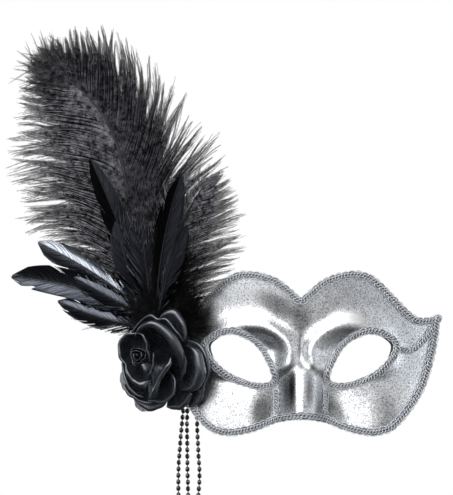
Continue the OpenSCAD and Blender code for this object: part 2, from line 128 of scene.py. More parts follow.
def foil():
    """Silver foil on a cloth: crisp grain that sparkles, with painted shade in the hollows of the face and
    painted highlights.
    """
    m, nt, p = material("silver_foil", (0.83, 0.84, 0.86), 0.3, metallic=1.0)
    v = coords(nt)
    grain = noise(nt, v, 1100.0, 3.0, 0.75)
    tone = ramp(nt, grain, [(0.37, (0.26, 0.27, 0.28)), (0.5, (0.82, 0.83, 0.85)),
                            (0.62, (0.98, 0.98, 0.99))])
    # Painted shade darkens the colour in each shade oval; a painted highlight lightens it in each light oval.
    for x, z, rx, rz, lean, left in PAINTED_SHADE_OVALS + [(*row, None) for row in PAINTED_LIGHT_OVALS]:
        oval = add(nt, "ShaderNodeMapping", vector_type="TEXTURE", Location=(x * MM, 0, z * MM),
                   Rotation=(0, math.radians(lean), 0), Scale=(rx * MM, 1, rz * MM))
        nt.links.new(v, oval.inputs["Vector"])
        far = add(nt, "ShaderNodeVectorMath", operation="LENGTH")
        nt.links.new(oval.outputs["Vector"], far.inputs[0])
        stops = [(0.25, left), (1.0, 1.0)] if left else [(0.3, 0.97), (1.0, 0.0)]
        fade = ramp(nt, far.outputs["Value"], stops)
        fade.node.color_ramp.interpolation = "EASE"
        tone = times(nt, tone, fade, "MULTIPLY" if left else "LIGHTEN")
    nt.links.new(tone, p.inputs["Base Color"])
    drive(nt, p, "Roughness", noise(nt, v, 260.0, 4.0, 0.6), [(0.3, 0.29), (0.7, 0.4)])
    bump(nt, p, grain, 0.4, 0.0003)
    bump(nt, p, noise(nt, coords(nt, scale=(1, 1, 0.35)), 420.0), 0.12, 0.0006)
    return m


def gimp():
    """Silver gimp thread: a metallic yarn, darker where the plies part."""
    m, nt, p = material("silver_gimp", (0.75, 0.78, 0.82), 0.42, metallic=0.45, spec=0.7)
    v = coords(nt)
    ply = noise(nt, v, 2300.0, 2.0)
    drive(nt, p, "Base Color", ply, [(0.32, (0.35, 0.37, 0.41)), (0.5, (0.78, 0.81, 0.86)),
                                     (0.66, (0.96, 0.97, 0.98))])
    drive(nt, p, "Roughness", noise(nt, v, 900.0), [(0.3, 0.34), (0.7, 0.55)])
    bump(nt, p, ply, 0.5, 0.0002)
    return m


def cloth(name, base, rough, weave=2400.0, depth=0.25, light=None, **more):
    """A fine woven cloth with a soft tone drift. light is the colour of its raised threads."""
    m, nt, p = material(name, base, rough, coat_rough=0.25, **more)
    warp = noise(nt, coords(nt, scale=(1, 1, 0.3)), weave, 2.0)
    drive(nt, p, "Base Color", warp, [(0.35, base), (0.75, light or tuple(c * 1.9 for c in base))])
    drive(nt, p, "Roughness", noise(nt, coords(nt), 180.0), [(0.3, rough - 0.06), (0.7, rough + 0.08)])
    bump(nt, p, warp, depth, 0.0002)
    return m


def barb_stuff(name, dark, light, rough, scale=500.0, spec=0.5, coat=0.0):
    """Feather: colour and gloss drift from barb to barb, with fine ridges."""
    m, nt, p = material(name, dark, rough, spec=spec, coat=coat, coat_rough=0.22)
    v = coords(nt)
    drive(nt, p, "Base Color", noise(nt, v, scale, 3.0, 0.6), [(0.35, dark), (0.7, light)])
    drive(nt, p, "Roughness", noise(nt, v, scale * 3), [(0.3, rough - 0.05), (0.7, rough + 0.08)])
    bump(nt, p, noise(nt, v, scale * 6), 0.3, 0.0001)
    return m


def web_stuff(name, dark, light, rough, coat=0.0):
    """A glossy feather web: its tone runs in fine streaks along the barbs."""
    m, nt, p = material(name, light, rough, metallic=1.0, coat=coat, coat_rough=0.22)
    v = coords(nt, "UV", (1.3, 0.12, 1))
    streak = noise(nt, v, 1.0, 4.0, 0.7)
    drive(nt, p, "Base Color", streak, [(0.38, dark), (0.62, light)])
    drive(nt, p, "Roughness", noise(nt, v, 2.5), [(0.3, rough - 0.05), (0.7, rough + 0.1)])
    bump(nt, p, streak, 0.25, 0.0002)
    return m


def hard(name, base, rough, metallic=0.0, coat=0.0):
    """Glass or metal, a little worn."""
    m, nt, p = material(name, base, rough, metallic=metallic, coat=coat, coat_rough=0.05)
    worn = noise(nt, coords(nt), 900.0, 4.0)
    drive(nt, p, "Roughness", worn, [(0.3, rough - 0.05), (0.7, rough + 0.1)])
    drive(nt, p, "Base Color", worn, [(0.3, base), (0.8, tuple(c * 1.25 for c in base))])
    bump(nt, p, worn, 0.06, 0.0001)
    return m


FOIL = foil()
GIMP = gimp()
CORE = cloth("moulded_core", (0.03, 0.03, 0.032), 0.7, 900.0)
# A dark strip under the braid: painted shade that shows in the gaps between its threads.
GAP_SHADE = cloth("gimp_gap_shade", (0.03, 0.032, 0.037), 0.75, 1500.0)
SHADE = cloth("gimp_shade", (0.06, 0.064, 0.073), 0.5, 1500.0, light=(0.2, 0.21, 0.23))
LINING = cloth("black_lining", (0.012, 0.012, 0.013), 0.8, 1600.0, 0.5, sheen=0.15)
FELT = cloth("black_felt", (0.014, 0.014, 0.015), 0.92, 700.0, 0.8, sheen=0.25)
SATIN = cloth("black_satin", (0.005, 0.005, 0.007), 0.27, 2600.0, 0.3, sheen=0.02, tint=(0.85, 0.92, 1.0),
              light=(0.02, 0.021, 0.026), spec=0.9)
SATIN.node_tree.nodes["Principled BSDF"].inputs["IOR"].default_value = 1.75
# A fused satin edge, glossier, with its colour painted lighter as a highlight.
RIM = cloth("fused_rim_and_highlight", (0.07, 0.076, 0.09), 0.26, 1500.0, 0.15, coat=0.5, light=(0.22, 0.235, 0.28))
ORGANZA = cloth("sheer_organza", (0.10, 0.10, 0.105), 0.5, 1400.0, 0.5, sheen=0.2, light=(0.42, 0.42, 0.42))
STEM = barb_stuff("ostrich_stems", (0.004, 0.004, 0.005), (0.4, 0.4, 0.44), 0.35, 330.0, spec=0.4)
DARK_STEM = barb_stuff("dark_stems", (0.001, 0.001, 0.0012), (0.14, 0.14, 0.165), 0.4, 330.0, spec=0.25)
OSTRICH = barb_stuff("ostrich_barbs", (0.0008, 0.0008, 0.001), (0.006, 0.006, 0.007), 0.6, spec=0.05)
OSTRICH_TIP = barb_stuff("ostrich_tips", (0.01, 0.0096, 0.009), (0.12, 0.115, 0.1), 0.5)
OSTRICH_PALE = barb_stuff("ostrich_pale", (0.02, 0.019, 0.017), (0.2, 0.19, 0.165), 0.5)
QUILL = barb_stuff("quill", (0.016, 0.014, 0.014), (0.05, 0.048, 0.05), 0.32, 300.0, coat=0.3)
DOWN = barb_stuff("black_down", (0.002, 0.002, 0.0025), (0.009, 0.009, 0.011), 0.5, spec=0.22)
DARK_QUILL = barb_stuff("dark_quill", (0.003, 0.003, 0.004), (0.012, 0.012, 0.014), 0.4, 300.0)
GLOSSY = web_stuff("glossy_web", (0.03, 0.033, 0.04), (0.52, 0.56, 0.64), 0.2, 0.2)
SEMI = web_stuff("half_glossy_web", (0.015, 0.017, 0.022), (0.13, 0.14, 0.17), 0.25, 0.1)
SATEEN = web_stuff("dark_web", (0.004, 0.0045, 0.006), (0.036, 0.038, 0.048), 0.26, 0.1)
# One web of a crest feather, painted darker than the other as shade.
SHADED_WEB = web_stuff("painted_shade_web", (0.001, 0.001, 0.0012), (0.005, 0.005, 0.006), 0.45)
BEAD = hard("black_bead", (0.008, 0.008, 0.008), 0.1, coat=0.6)
THREAD = cloth("bead_thread", (0.02, 0.02, 0.02), 0.6, 3000.0)
NICKEL = hard("nickel", (0.42, 0.42, 0.44), 0.24, metallic=1.0)


# ---- mesh tools
WELD = 1e-7              # metres


def make(name, body, slot, verts, faces, mats, replaces=(), smooth=True, index=None, uv=None, weld=False):
    """A mesh piece from millimetre points and lists of triangles or quads. index is each face's material."""
    blocks = [np.asarray(f, int).reshape(len(f), -1) for f in faces if len(f)]
    me = bpy.data.meshes.new(name)
    v = np.asarray(verts, float) * MM
    me.vertices.add(len(v))
    me.vertices.foreach_set("co", v.ravel())
    loops = np.concatenate([b.ravel() for b in blocks])
    sizes = np.concatenate([np.full(len(b), b.shape[1]) for b in blocks])
    me.loops.add(len(loops))
    me.loops.foreach_set("vertex_index", loops)
    me.polygons.add(len(sizes))
    me.polygons.foreach_set("loop_start", np.concatenate([[0], np.cumsum(sizes)[:-1]]))
    if index is not None:
        me.polygons.foreach_set("material_index", np.asarray(index, int))
    if uv is not None:
        layer = me.uv_layers.new(name="UVMap")
        layer.data.foreach_set("uv", np.asarray(uv, float)[loops].ravel())
    me.update(calc_edges=True)
    me.validate()
    if weld:
        bm = bmesh.new()
        bm.from_mesh(me)
        bmesh.ops.remove_doubles(bm, verts=bm.verts, dist=WELD)
        bmesh.ops.recalc_face_normals(bm, faces=bm.faces)
        bm.to_mesh(me)
        bm.free()
    me.polygons.foreach_set("use_smooth", np.full(len(me.polygons), smooth))
    for m in mats:
        me.materials.append(m)
    o = in_scene(name, me)
    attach(o, body)
    if replaces:
        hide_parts(*replaces)
    return o


def in_scene(name, data):
    o = bpy.data.objects.new(name, data)
    bpy.context.scene.collection.objects.link(o)
    return o


class Stack:
    """Collects parts of one piece: points, faces and each face's material."""

    def __init__(self):
        self.v, self.f, self.m, self.n = [], {}, {}, 0

    def put(self, verts, faces, mat=0):
        for f in faces:
            f = np.asarray(f, int)
            if len(f):
                k = f.shape[1]
                self.f.setdefault(k, []).append(f + self.n)
                self.m.setdefault(k, []).append(np.full(len(f), mat))
        self.v.append(np.asarray(verts, float).reshape(-1, 3))
        self.n += len(self.v[-1])
        return self

    def done(self, name, body, slot, mats, **more):
        keys = sorted(self.f)
        return make(name, body, slot, np.concatenate(self.v), [np.concatenate(self.f[k]) for k in keys], mats,
                    index=np.concatenate([np.concatenate(self.m[k]) for k in keys]), **more)


def unit(v):
    return v / np.maximum(np.linalg.norm(v, axis=-1, keepdims=True), 1e-9)


def spline(points, n, closed=False):
    """Catmull-Rom curve through the points, n steps to each span."""
    p = np.asarray(points, float)
    if closed:
        q = np.concatenate([p[-1:], p, p[:2]])
    else:
        q = np.concatenate([p[:1], p, p[-1:]])
    t = (np.arange(n) / n)[:, None]
    out = np.concatenate([
        0.5 * (2 * b + (c - a) * t + (2 * a - 5 * b + 4 * c - d) * t ** 2 + (3 * b - a - 3 * c + d) * t ** 3)
        for a, b, c, d in zip(q[:-3], q[1:-2], q[2:-1], q[3:])])
    return out if closed else np.concatenate([out, p[-1:]])


def arc(p):
    return np.concatenate([[0], np.cumsum(np.linalg.norm(np.diff(p, axis=0), axis=1))])


def along(p, s):
    """Points of polyline p at distances s."""
    a = arc(p)
    return np.stack([np.interp(s, a, p[:, k]) for k in range(p.shape[1])], -1)


def evenly(p, n, end=False):
    total = arc(p)[-1]
    return along(p, np.linspace(0, total, n) if end else np.arange(n) * total / n)


def fan(centre, ring):
    """Triangles from one point to each side of a closed ring."""
    return np.stack([np.full(len(ring), centre), ring, np.roll(ring, -1)], -1)


def tube(p, r, sides=6, up=(0, -1, 0), closed=False):
    """A tube round polyline p, with radius r at each point. Returns points, then quads and end caps."""
    p = np.asarray(p, float)
    n = len(p)
    r = np.broadcast_to(np.asarray(r, float), (n,))
    t = unit(np.roll(p, -1, 0) - np.roll(p, 1, 0)) if closed else unit(np.gradient(p, axis=0))
    u = unit(np.cross(t, np.asarray(up, float)))
    w = np.cross(u, t)
    a = 2 * np.pi * np.arange(sides) / sides
    v = p[:, None] + r[:, None, None] * (u[:, None] * np.cos(a)[:, None] + w[:, None] * np.sin(a)[:, None])
    v, quads = v.reshape(-1, 3), grid_faces(sides, n + closed, True)
    if closed:
        return v, [quads % (n * sides)]
    k = np.arange(sides)
    caps = np.concatenate([fan(n * sides, k)[:, ::-1], fan(n * sides + 1, (n - 1) * sides + k)])
    return np.concatenate([v, p[:1], p[-1:]]), [quads, caps]


def grid_faces(nu, nv, wrap_u=False):
    """Quads of a grid whose point (iv, iu) has number iv * nu + iu."""
    i, j = np.meshgrid(np.arange(nv - 1), np.arange(nu if wrap_u else nu - 1), indexing="ij")
    i, j = i.ravel(), j.ravel()
    j2 = (j + 1) % nu
    return np.stack([i * nu + j, i * nu + j2, (i + 1) * nu + j2, (i + 1) * nu + j], -1)


def lerp(a, b, t):
    return a + (b - a) * t


# ---- camera
VIEW_H = 0.297           # height of the view at the mask, in metres
CAMERA_AT = (-0.0447, -8.0, 0.0675)
cam_data = bpy.data.cameras.new("camera")
cam_data.sensor_width = 36.0
cam_data.lens = cam_data.sensor_width * -CAMERA_AT[1] / VIEW_H
cam_data.clip_end = 40.0
camera = in_scene("camera", cam_data)
camera.location = CAMERA_AT
camera.rotation_euler = (math.pi / 2, 0, 0)
bpy.context.scene.camera = camera


# ---- bead strands
STRAND_Z = -25.0
BEAD_D, BEAD_TALL, BEAD_PITCH, BEAD_START, THREAD_D = 2.7, 3.1, 3.9, 1.7, 0.6
LOOP_R = 0.5 + 0.25 + THREAD_D / 2
STRANDS = [
    (-70.6, 31.4, [(-70.6, -29.2), (-71.5, -38), (-72.6, -51), (-73.6, -66), (-73.6, -84), (-73, -104),
                   (-72.6, -126)]),
    (-68.2, 27.2, [(-68.2, -29.2), (-68.5, -38), (-68.3, -51), (-68.2, -66), (-67.8, -82), (-68.2, -104),
                   (-68.4, -129)]),
    (-62.6, 23.0, [(-62.6, -29.2), (-62.3, -42), (-61.6, -56), (-60.9, -70), (-61.7, -84), (-62, -104),
                   (-61.8, -123)])]
BEAD_RINGS = [(0.5, 0.3), (0.46, 0.52), (0.3, 0.86), (0.08, 1.0), (-0.08, 1.0), (-0.3, 0.86), (-0.46, 0.52),
              (-0.5, 0.3)]     # height and radius of each ring, as shares
BEAD_DIMPLE = 0.44       # share of the height at which the end of the drilled hole is closed


def bead(centre, turn):
    """A faceted bead, drilled along z."""
    line = np.asarray(centre, float) + [(0, 0, BEAD_TALL * h) for h, _ in BEAD_RINGS]
    v, faces = tube(line, [BEAD_D / 2 * r for _, r in BEAD_RINGS], 8, up=(-math.sin(turn), math.cos(turn), 0))
    v[-2:, 2] = centre[2] + BEAD_TALL * BEAD_DIMPLE * np.array([1, -1])
    return v, [f[:, ::-1] for f in faces]


for number, (sx, sy, route) in enumerate(STRANDS, 1):
    body = f"strand_{number}"
    run = spline([(x, sy, z) for x, z in route], 6)
    length = arc(run)[-1]
    beads = Stack()
    for d in np.arange(BEAD_START, length, BEAD_PITCH):
        beads.put(*bead(along(run, [d])[0], rng.uniform(0, 0.7)))
    bead_piece = beads.done(f"{body}_bead_row", body, "black_bead", [BEAD], smooth=False,
                            replaces=(f"{body}_beads",))
    a = np.linspace(0, 2 * np.pi, 33)[:-1]
    ring = np.stack([sx + LOOP_R * np.cos(a), np.full(32, sy), STRAND_Z + LOOP_R * np.sin(a)], -1)
    lead = Stack().put(*tube(ring, THREAD_D / 2, 8, closed=True), 1)
    lead.put(*bead((sx, sy, STRAND_Z - LOOP_R - BEAD_D / 2), rng.uniform(0, 0.7)))
    lead.done(f"{body}_top_loop", f"{body}_loop", "black_bead", [BEAD, THREAD], smooth=False,
              replaces=(f"{body}_lead",))
    data = bpy.data.curves.new(f"{body}_cord", "CURVE")
    data.dimensions = "3D"
    line = evenly(run, 60, True)
    points = data.splines.new("POLY")
    points.points.add(len(line) - 1)
    for q, co in zip(points.points, line):
        q.co = (*(co * MM), 1)
    data.bevel_depth = THREAD_D / 2 * MM
    data.bevel_resolution = 2
    data.use_fill_caps = True
    data.materials.append(THREAD)
    cord = in_scene(f"{body}_cord", data)
    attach(cord, body)
    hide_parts(f"{body}_thread")


# ---- moulded face
BROW_EDGE = [(0, 37.5), (12, 47.8), (21, 51.7), (31, 53.5), (39, 52.4), (47, 47.6), (61, 33.3), (67, 27.6),
             (72.5, 25.3), (83.6, 26.6)]
CHEEK_EDGE = [(83.6, 26.6), (81.6, 9.5), (76.2, -12), (69, -26.5), (57, -41), (48, -45.2), (40, -45.7),
              (28, -43.2), (13, -37.6), (0, -35.9)]
EYE = [(17, -9), (20.8, -0.5), (27.5, 9.3), (38, 15.6), (47, 14.8), (55.4, 8.6), (50.5, -2), (38.7, -10.4),
       (26, -14), (18.6, -13)]
EYE_MID = np.array([36, 1.5])
NOSE_PATH = [(14.6, -17.6), (14.4, -22), (14.2, -26), (14.2, -29), (14.2, -32.2)]
WING_PATH = [(59.6, 7.2), (61.8, 5.8), (65, 5.4), (70, 8.3), (75, 13.5), (79, 19.2)]
SHELL_T, FACING_T, LINING_T, EDGE_IN = 1.6, 0.4, 0.5, 0.8
GLUE = 0.05              # gap between two layers
MIDDLE_N, ROWS_N = 60, 27


def ease(v):
    c = np.clip(v, 0, 1)
    return c * c * (3 - 2 * c)


def relief(x, z):
    """How far the face lies behind its foremost level at x and z: brows, sockets, nose and cheeks."""
    a = np.abs(x)
    wrap = 60 * (1 - np.sqrt(np.maximum(1 - (x / 94) ** 2, 0)))
    lean = 0.0004 * np.maximum(z - 20, 0) ** 2
    low = -12 - z
    flare = 0.08 * (low + np.sqrt(low * low + 16))
    gap = 22 * (np.hypot((np.sqrt(x * x + 1.2) - 31) / 24.8, (z - 3.5) / 17) - 1)
    rise = 3.8 + 2.2 * ease((20 - z) / 22)
    width = np.where(gap < 0, 5.8 + 1.6 * ease((z - 6) / 14), 4.6 + 3.4 * ease((a - 12) / 14))
    crest = rise * np.exp(-(gap / width) ** 2) * ease((z + 14) / 12) * ease((66 - a) / 22)
    groove = 0.16 * rise * ease((16 - z) / 12) * ease((z + 3) / 8) * np.exp(-(x / 3) ** 2)
    socket = 2.6 * ease(-gap / 11) * ease((z + 3) / 10) * ease((36 - a) / 14)
    side = 1 - ((np.sqrt(x * x + 6) - 2.44) / 11) ** 1.5
    nose = (6 + 9 * np.maximum(-z, 0) / 41) * ease((5 - z) / 13) * (side + np.sqrt(side * side + 0.02)) / 2
    ridge = np.sqrt(crest ** 2 + nose ** 2) - groove
    cheek = 6.5 * np.exp(-((a - 57) / np.where(a < 57, 20, 18)) ** 2) - 5 * np.exp(-((a - 16) / 9) ** 2)
    return wrap + lean - flare - ridge + socket - cheek * np.exp(-((z + 38) / 22) ** 2)


BACK_Y = relief(6.0, 0.0) + SHELL_T + LINING_T + 0.1


def face_y(x, z):
    return relief(np.asarray(x, float), np.asarray(z, float)) - BACK_Y


def face(x, z, h=0.0):
    """Points of the face, lifted out of it by h along its normal."""
    x, z = np.asarray(x, float), np.asarray(z, float)
    n = unit(np.stack([(relief(x + 0.1, z) - relief(x - 0.1, z)) / 0.2, np.full(x.shape, -1.0),
                       (relief(x, z + 0.1) - relief(x, z - 0.1)) / 0.2], -1))
    return np.stack([x, face_y(x, z), z], -1) + np.asarray(h, float)[..., None] * n


def side_of(p, closed):
    """Unit vector in x and z that points out of a clockwise closed path, or to the left of an open one."""
    t = np.roll(p, -1, 0) - np.roll(p, 1, 0) if closed else np.gradient(p, axis=0)
    return unit(np.stack([t[:, 1], -t[:, 0]], -1))


HALF_RIM = np.concatenate([evenly(spline(BROW_EDGE, 24), 110), evenly(spline(CHEEK_EDGE, 24), 120)])


def mask_grid():
    """Rows of x and z points for one half, from eye hole to edge, and which edge points are on the middle."""
    n = len(HALF_RIM)
    levels = np.linspace(CHEEK_EDGE[-1][1], BROW_EDGE[0][1], MIDDLE_N + 1)[:-1]
    edge = np.concatenate([HALF_RIM, np.stack([np.zeros(MIDDLE_N), levels], -1)])
    mid = np.zeros(len(edge), bool)
    mid[0], mid[n:] = True, True
    inner = edge + EDGE_IN * side_of(edge, True)
    inner[mid] = edge[mid]
    inner[0, 1] -= EDGE_IN
    inner[n, 1] += EDGE_IN
    inner[n:, 1] = np.linspace(inner[n, 1], inner[0, 1], MIDDLE_N + 1)[:-1]
    loop = spline(EYE, 20, True) - EYE_MID
    nxt = np.roll(loop, -1, 0)
    start = []
    for p in inner - EYE_MID:
        a, b = loop[:, 0] * p[1] - loop[:, 1] * p[0], nxt[:, 0] * p[1] - nxt[:, 1] * p[0]
        with np.errstate(divide="ignore", invalid="ignore"):
            h = loop + (a / (a - b))[:, None] * (nxt - loop)
        ok = (a * b <= 0) & (a != b) & (h @ p > 0)
        start.append(h[np.nonzero(ok)[0][0]])
    start = np.array(start) + EYE_MID
    rows = np.linspace(0, 1, ROWS_N)[:, None, None]
    return start * (1 - rows) + inner * rows, mid


GRID, ON_MIDDLE = mask_grid()


def layer(name, slot, front, back, mat, node):
    """One closed layer of the mask between two offsets from the face."""
    m, n = GRID.shape[:2]
    q = grid_faces(n, m, True)
    k = np.arange(n)
    k2 = (k + 1) % n
    wall = np.stack([k, k2, k2 + m * n, k + m * n], -1)
    rim = ~(ON_MIDDLE & np.roll(ON_MIDDLE, -1))
    stack = Stack()
    for sign in (1, -1):
        x, z = GRID[..., 0] * sign, GRID[..., 1]
        v = np.concatenate([face(x, z, np.full(x.shape, h)).reshape(-1, 3) for h in (front, back)])
        stack.put(v, [q, q[:, ::-1] + m * n, wall, wall[rim] + (m - 1) * n])
    return stack.done(name, "mask", slot, [mat], replaces=(node,), weld=True)


facing = layer("foil_facing", "silver_foil_cloth", FACING_T + GLUE, GLUE, FOIL, "mask_facing")
layer("moulded_shell", "moulded_shell", 0.0, -SHELL_T, CORE, "mask_shell")
LINING_AT = -SHELL_T - GLUE
lining = layer("cloth_lining", "black_lining", LINING_AT, LINING_AT - LINING_T, LINING, "mask_lining")


# ---- gimp braid
LIFT = FACING_T + 0.3    # of the braid's middle over the shell
LOOP_PITCH = 3.9         # of the scallops
TWIST_PITCH = 1.9        # of the plies
EDGE_W, INNER_W = 4.6, 4.0


def braid(name, path, width, closed, node):
    """Gimp braid along a path in x and z: two cords of two plies, and scalloped loops on both sides."""
    dense = evenly(path, max(int(arc(path)[-1] / 0.5), 12), not closed)
    if closed:
        dense = np.concatenate([dense, dense[:1]])
    s_of = arc(dense)
    total = s_of[-1]
    side = side_of(dense[:-1], True) if closed else side_of(dense, False)
    if closed:
        side = np.concatenate([side, side[:1]])

    def lay(s, w, h):
        """Points s along the braid, w out to its side and h above its base."""
        q = np.mod(s, total) if closed else np.clip(s, 0, total)
        base = [np.interp(q, s_of, dense[:, k]) + w * np.interp(q, s_of, side[:, k]) for k in (0, 1)]
        return face(base[0], base[1], LIFT + h)

    stack = Stack()
    n = int(total / 0.9)
    s = np.linspace(0, total, n + 1)[:-1] if closed else np.linspace(0.2, total - 0.2, n)
    # A dark strip under the threads: painted shade for the gaps of the braid.
    gap_shade = np.stack([lay(s, np.full(n, w * width), np.full(n, h)) for w, h in
                       ((-0.3, 0.02), (-0.2, 0.3), (0.2, 0.3), (0.3, 0.02))], 1)
    stack.put(gap_shade, [grid_faces(4, n + closed, True) % (4 * n)], 1)
    n = int(total / 0.28)
    s = np.linspace(0, total, n + 1)[:-1] if closed else np.linspace(0, total, n)
    turns = round(total / TWIST_PITCH)
    for w0, start in ((-0.12 * width, 0.0), (0.12 * width, 1.7)):
        for ply in (0, 1):
            a = 2 * np.pi * turns * s / total + np.pi * ply + start
            cord = lay(s, w0 + 0.28 * np.cos(a), 0.72 + 0.24 * np.sin(a))
            stack.put(*tube(cord, 0.31 - 0.05 * ply, 5, closed=closed), 2 * ply)
    # scallops on both sides, two light threads to each with a dark one between
    loops, steps = max(round(total / LOOP_PITCH), 3), 15
    pitch = total / loops
    theta = np.arange(loops * steps + (not closed)) * 2 * np.pi / steps
    bob = (1 - np.cos(theta)) / 2
    for sign in (-1, 1):
        for k, (out, swing, h0) in enumerate(((0.56, 1.05, 0.30), (0.42, 0.85, 0.26), (0.31, 0.6, 0.46))):
            s = pitch * theta / (2 * np.pi) - swing * np.sin(theta) + (0 if sign > 0 else pitch * 0.5)
            edge = width * out - 0.26
            wobble = 0.1 * np.sin(0.37 * theta + 2.1 * k + sign)
            w = sign * (0.1 * width + (edge - 0.1 * width) * bob ** 0.8 + wobble * bob)
            h = h0 + 0.25 * np.sin(theta + 0.8 * k) + 0.1
            if not closed:
                s = np.clip(s, 0.1, total - 0.1)
            stack.put(*tube(lay(s, w, h), 0.29 - 0.05 * (k == 1), 5, closed=closed), 2 * (k == 1))
    stack.done(name, "mask", "silver_braid", [GIMP, GAP_SHADE, SHADE], replaces=(node,))


def mirrored(p):
    return p[::-1] * (-1, 1)


rim = np.concatenate([HALF_RIM, [(0, CHEEK_EDGE[-1][1])], (HALF_RIM[1:] * (-1, 1))[::-1]])
eye = evenly(np.concatenate([spline(EYE, 20, True), [EYE[0]]]), 120)
rim_path = rim + side_of(rim, True) * EDGE_W / 2
rim_path = evenly(np.concatenate([rim_path, rim_path[:1]]), 300)
eye_path = eye - side_of(eye, True) * (INNER_W / 2 - 0.35)
braid("gimp_edge", np.concatenate([rim_path, rim_path[:1]]), EDGE_W, True, "edge_braid")
for label, turn in (("left", np.asarray), ("right", mirrored)):
    for part, path, closed in (("eye", np.concatenate([eye_path, eye_path[:1]]), True),
                               ("nose", spline(NOSE_PATH, 6), False), ("wing", spline(WING_PATH, 6), False)):
        braid(f"gimp_{part}_{label}", turn(path), INNER_W, closed, f"{part}_braid_{label}")


# ---- feathers
QUILL_AT = (-88.0, 16.0)
HAIR_LEAN = 40.0         # degrees between a barb and its hairs


def turn_about(d, angle):
    """Vectors in x and z turned by an angle in degrees."""
    c, s = np.cos(np.radians(angle)), np.sin(np.radians(angle))
    return np.stack([d[..., 0] * c - d[..., 1] * s, d[..., 0] * s + d[..., 1] * c], -1)


def at_depth(y):
    """The depth of feathers that lie in one plane."""
    return lambda x, z: y


def soft_barbs(stack, xyz, radius, hair, hair_step, hair_width=0.2, pale_from=0.55):
    """Barbs as thin three-sided tubes on the curves xyz (barb, sample, 3), each fringed with fine hairs.

    A hair is one thin triangle rooted in its barb. Past pale_from, a share of the barb, hairs are paler."""
    n, m = xyz.shape[:2]
    t = unit(np.gradient(xyz, axis=1))
    u = unit(np.cross(t, np.array([0.0, -1.0, 0.0])))
    w = np.cross(u, t)
    r = (radius * (1 - 0.75 * np.linspace(0, 1, m) ** 1.5))[:, None, None]
    a = (2 * np.pi * np.arange(3) / 3 + 0.4)[:, None]
    ring = xyz[:, :, None] + r * (u[:, :, None] * np.cos(a) + w[:, :, None] * np.sin(a))
    first = np.arange(n)[:, None] * m * 3
    quads = (first[:, None] + grid_faces(3, m, True)).reshape(-1, 4)
    stack.put(ring, [quads, np.concatenate([first + [2, 1, 0], first + (m - 1) * 3 + [0, 1, 2]])], 2)
    length = np.linalg.norm(np.diff(xyz, axis=1), axis=2).sum(1)
    count = np.maximum((length / hair_step).astype(int), 4)
    who = np.repeat(np.arange(n), count)
    q = (np.concatenate([np.arange(c) / c for c in count]) * 0.97 + 0.02) * (m - 1)
    k = np.minimum(q.astype(int), m - 2)
    p = lerp(xyz[who, k], xyz[who, k + 1], (q - k)[:, None])
    tt, uu, ww = t[who, k], u[who, k], w[who, k]
    share = q / (m - 1)
    grown = 0.25 + 0.75 * np.sin(np.pi * np.clip(share * 0.8 + 0.14, 0, 1))
    for sign in (-1, 1):
        size = hair * rng.uniform(0.65, 1.1, len(p)) * grown
        angle = np.radians(HAIR_LEAN * (1 - 0.72 * share ** 2) + rng.uniform(-12, 12, len(p)))[:, None]
        lift = rng.uniform(-0.55, 0.55, len(p))
        d = tt * np.cos(angle) + (uu * sign + ww * lift[:, None]) * np.sin(angle)
        v = np.stack([p - tt * (hair_width / 2), p + tt * (hair_width / 2), p + d * size[:, None]], 1)
        for mat, pick in enumerate((share < pale_from, share >= pale_from)):
            stack.put(v[pick], [np.arange(3 * pick.sum()).reshape(-1, 3)], mat)


def fringe(rachis, keys, count, locks, y_of, side, wave, start, spread, reach=(0.74, 1.0), pull=(0.7, 1.0)):
    """Curves of the barbs on one side of a plume, gathered in locks.

    keys hold share of the shaft, tip x, tip z and the tip's heading. start is the angle from shaft to barb,
    spread is how far locks stray in depth, reach a barb's share of its length, pull how much it gathers."""
    keys = np.array(sorted(keys))
    first, span = keys[0, 0], keys[-1, 0] - keys[0, 0]
    t = np.sort(np.linspace(first, keys[-1, 0], count) + rng.uniform(-0.4, 0.4, count) * span / count)
    cuts = np.linspace(0, 1, locks + 1)[1:-1] + rng.uniform(-0.3, 0.3, locks - 1) / locks
    lock = np.searchsorted(cuts, (t - first) / span)
    centre = np.array([t[lock == k].mean() if (lock == k).any() else 0 for k in range(locks)])[lock]
    lock_reach = rng.uniform(0.9, 1.03, locks)[lock]
    lock_y = rng.uniform(*spread, locks)[lock]
    lock_turn = rng.uniform(-7, 7, locks)[lock]
    total = arc(rachis)[-1]
    before, root, after = (along(rachis, np.clip(t + step, 0, 1) * total) for step in (-0.01, 0, 0.01))

    def key(column, at):
        return np.interp(at, keys[:, 0], keys[:, column])

    own, shared = (np.stack([key(1, at), key(2, at)], -1) for at in (t, centre))
    gather = (shared - own) * rng.uniform(*pull, count)[:, None] + rng.normal(0, 0.4, (count, 2))
    far = (rng.uniform(*reach, count) ** 0.7 * lock_reach)[:, None]
    tip = root + (own - root) * far
    size = np.linalg.norm(tip - root, axis=1)[:, None]
    d0 = turn_about(unit(after - before), side * (start + rng.normal(0, 3, count)))
    d1 = turn_about(np.array([1, 0]), key(3, centre) + lock_turn + rng.normal(0, 3, count))
    q = np.linspace(0, 1, 26)[None, :, None]
    a, d = root[:, None], tip[:, None]
    b, c = a + (d0 * size * 0.34)[:, None], d - (d1 * size * 0.36)[:, None]
    p = a * (1 - q) ** 3 + 3 * b * q * (1 - q) ** 2 + 3 * c * q ** 2 * (1 - q) + d * q ** 3
    p = p + gather[:, None] * far[:, None] * q ** 2.8
    n = unit(turn_about(d - a, 90))
    phase = rng.uniform(0, 6.28, locks)[lock][:, None, None] + rng.normal(0, 0.25, count)[:, None, None]
    freq = rng.uniform(1.2, 2.4, locks)[lock][:, None, None]
    p = p + n * wave * np.sin(phase + 2 * np.pi * freq * q) * q ** 1.4 * (size[:, :, None] / 60)
    y = y_of(p[..., 0], p[..., 1]) + (lock_y[:, None] + rng.normal(0, 0.5, count)[:, None]) * q[..., 0] ** 1.2
    return np.stack([p[..., 0], y, p[..., 1]], -1)


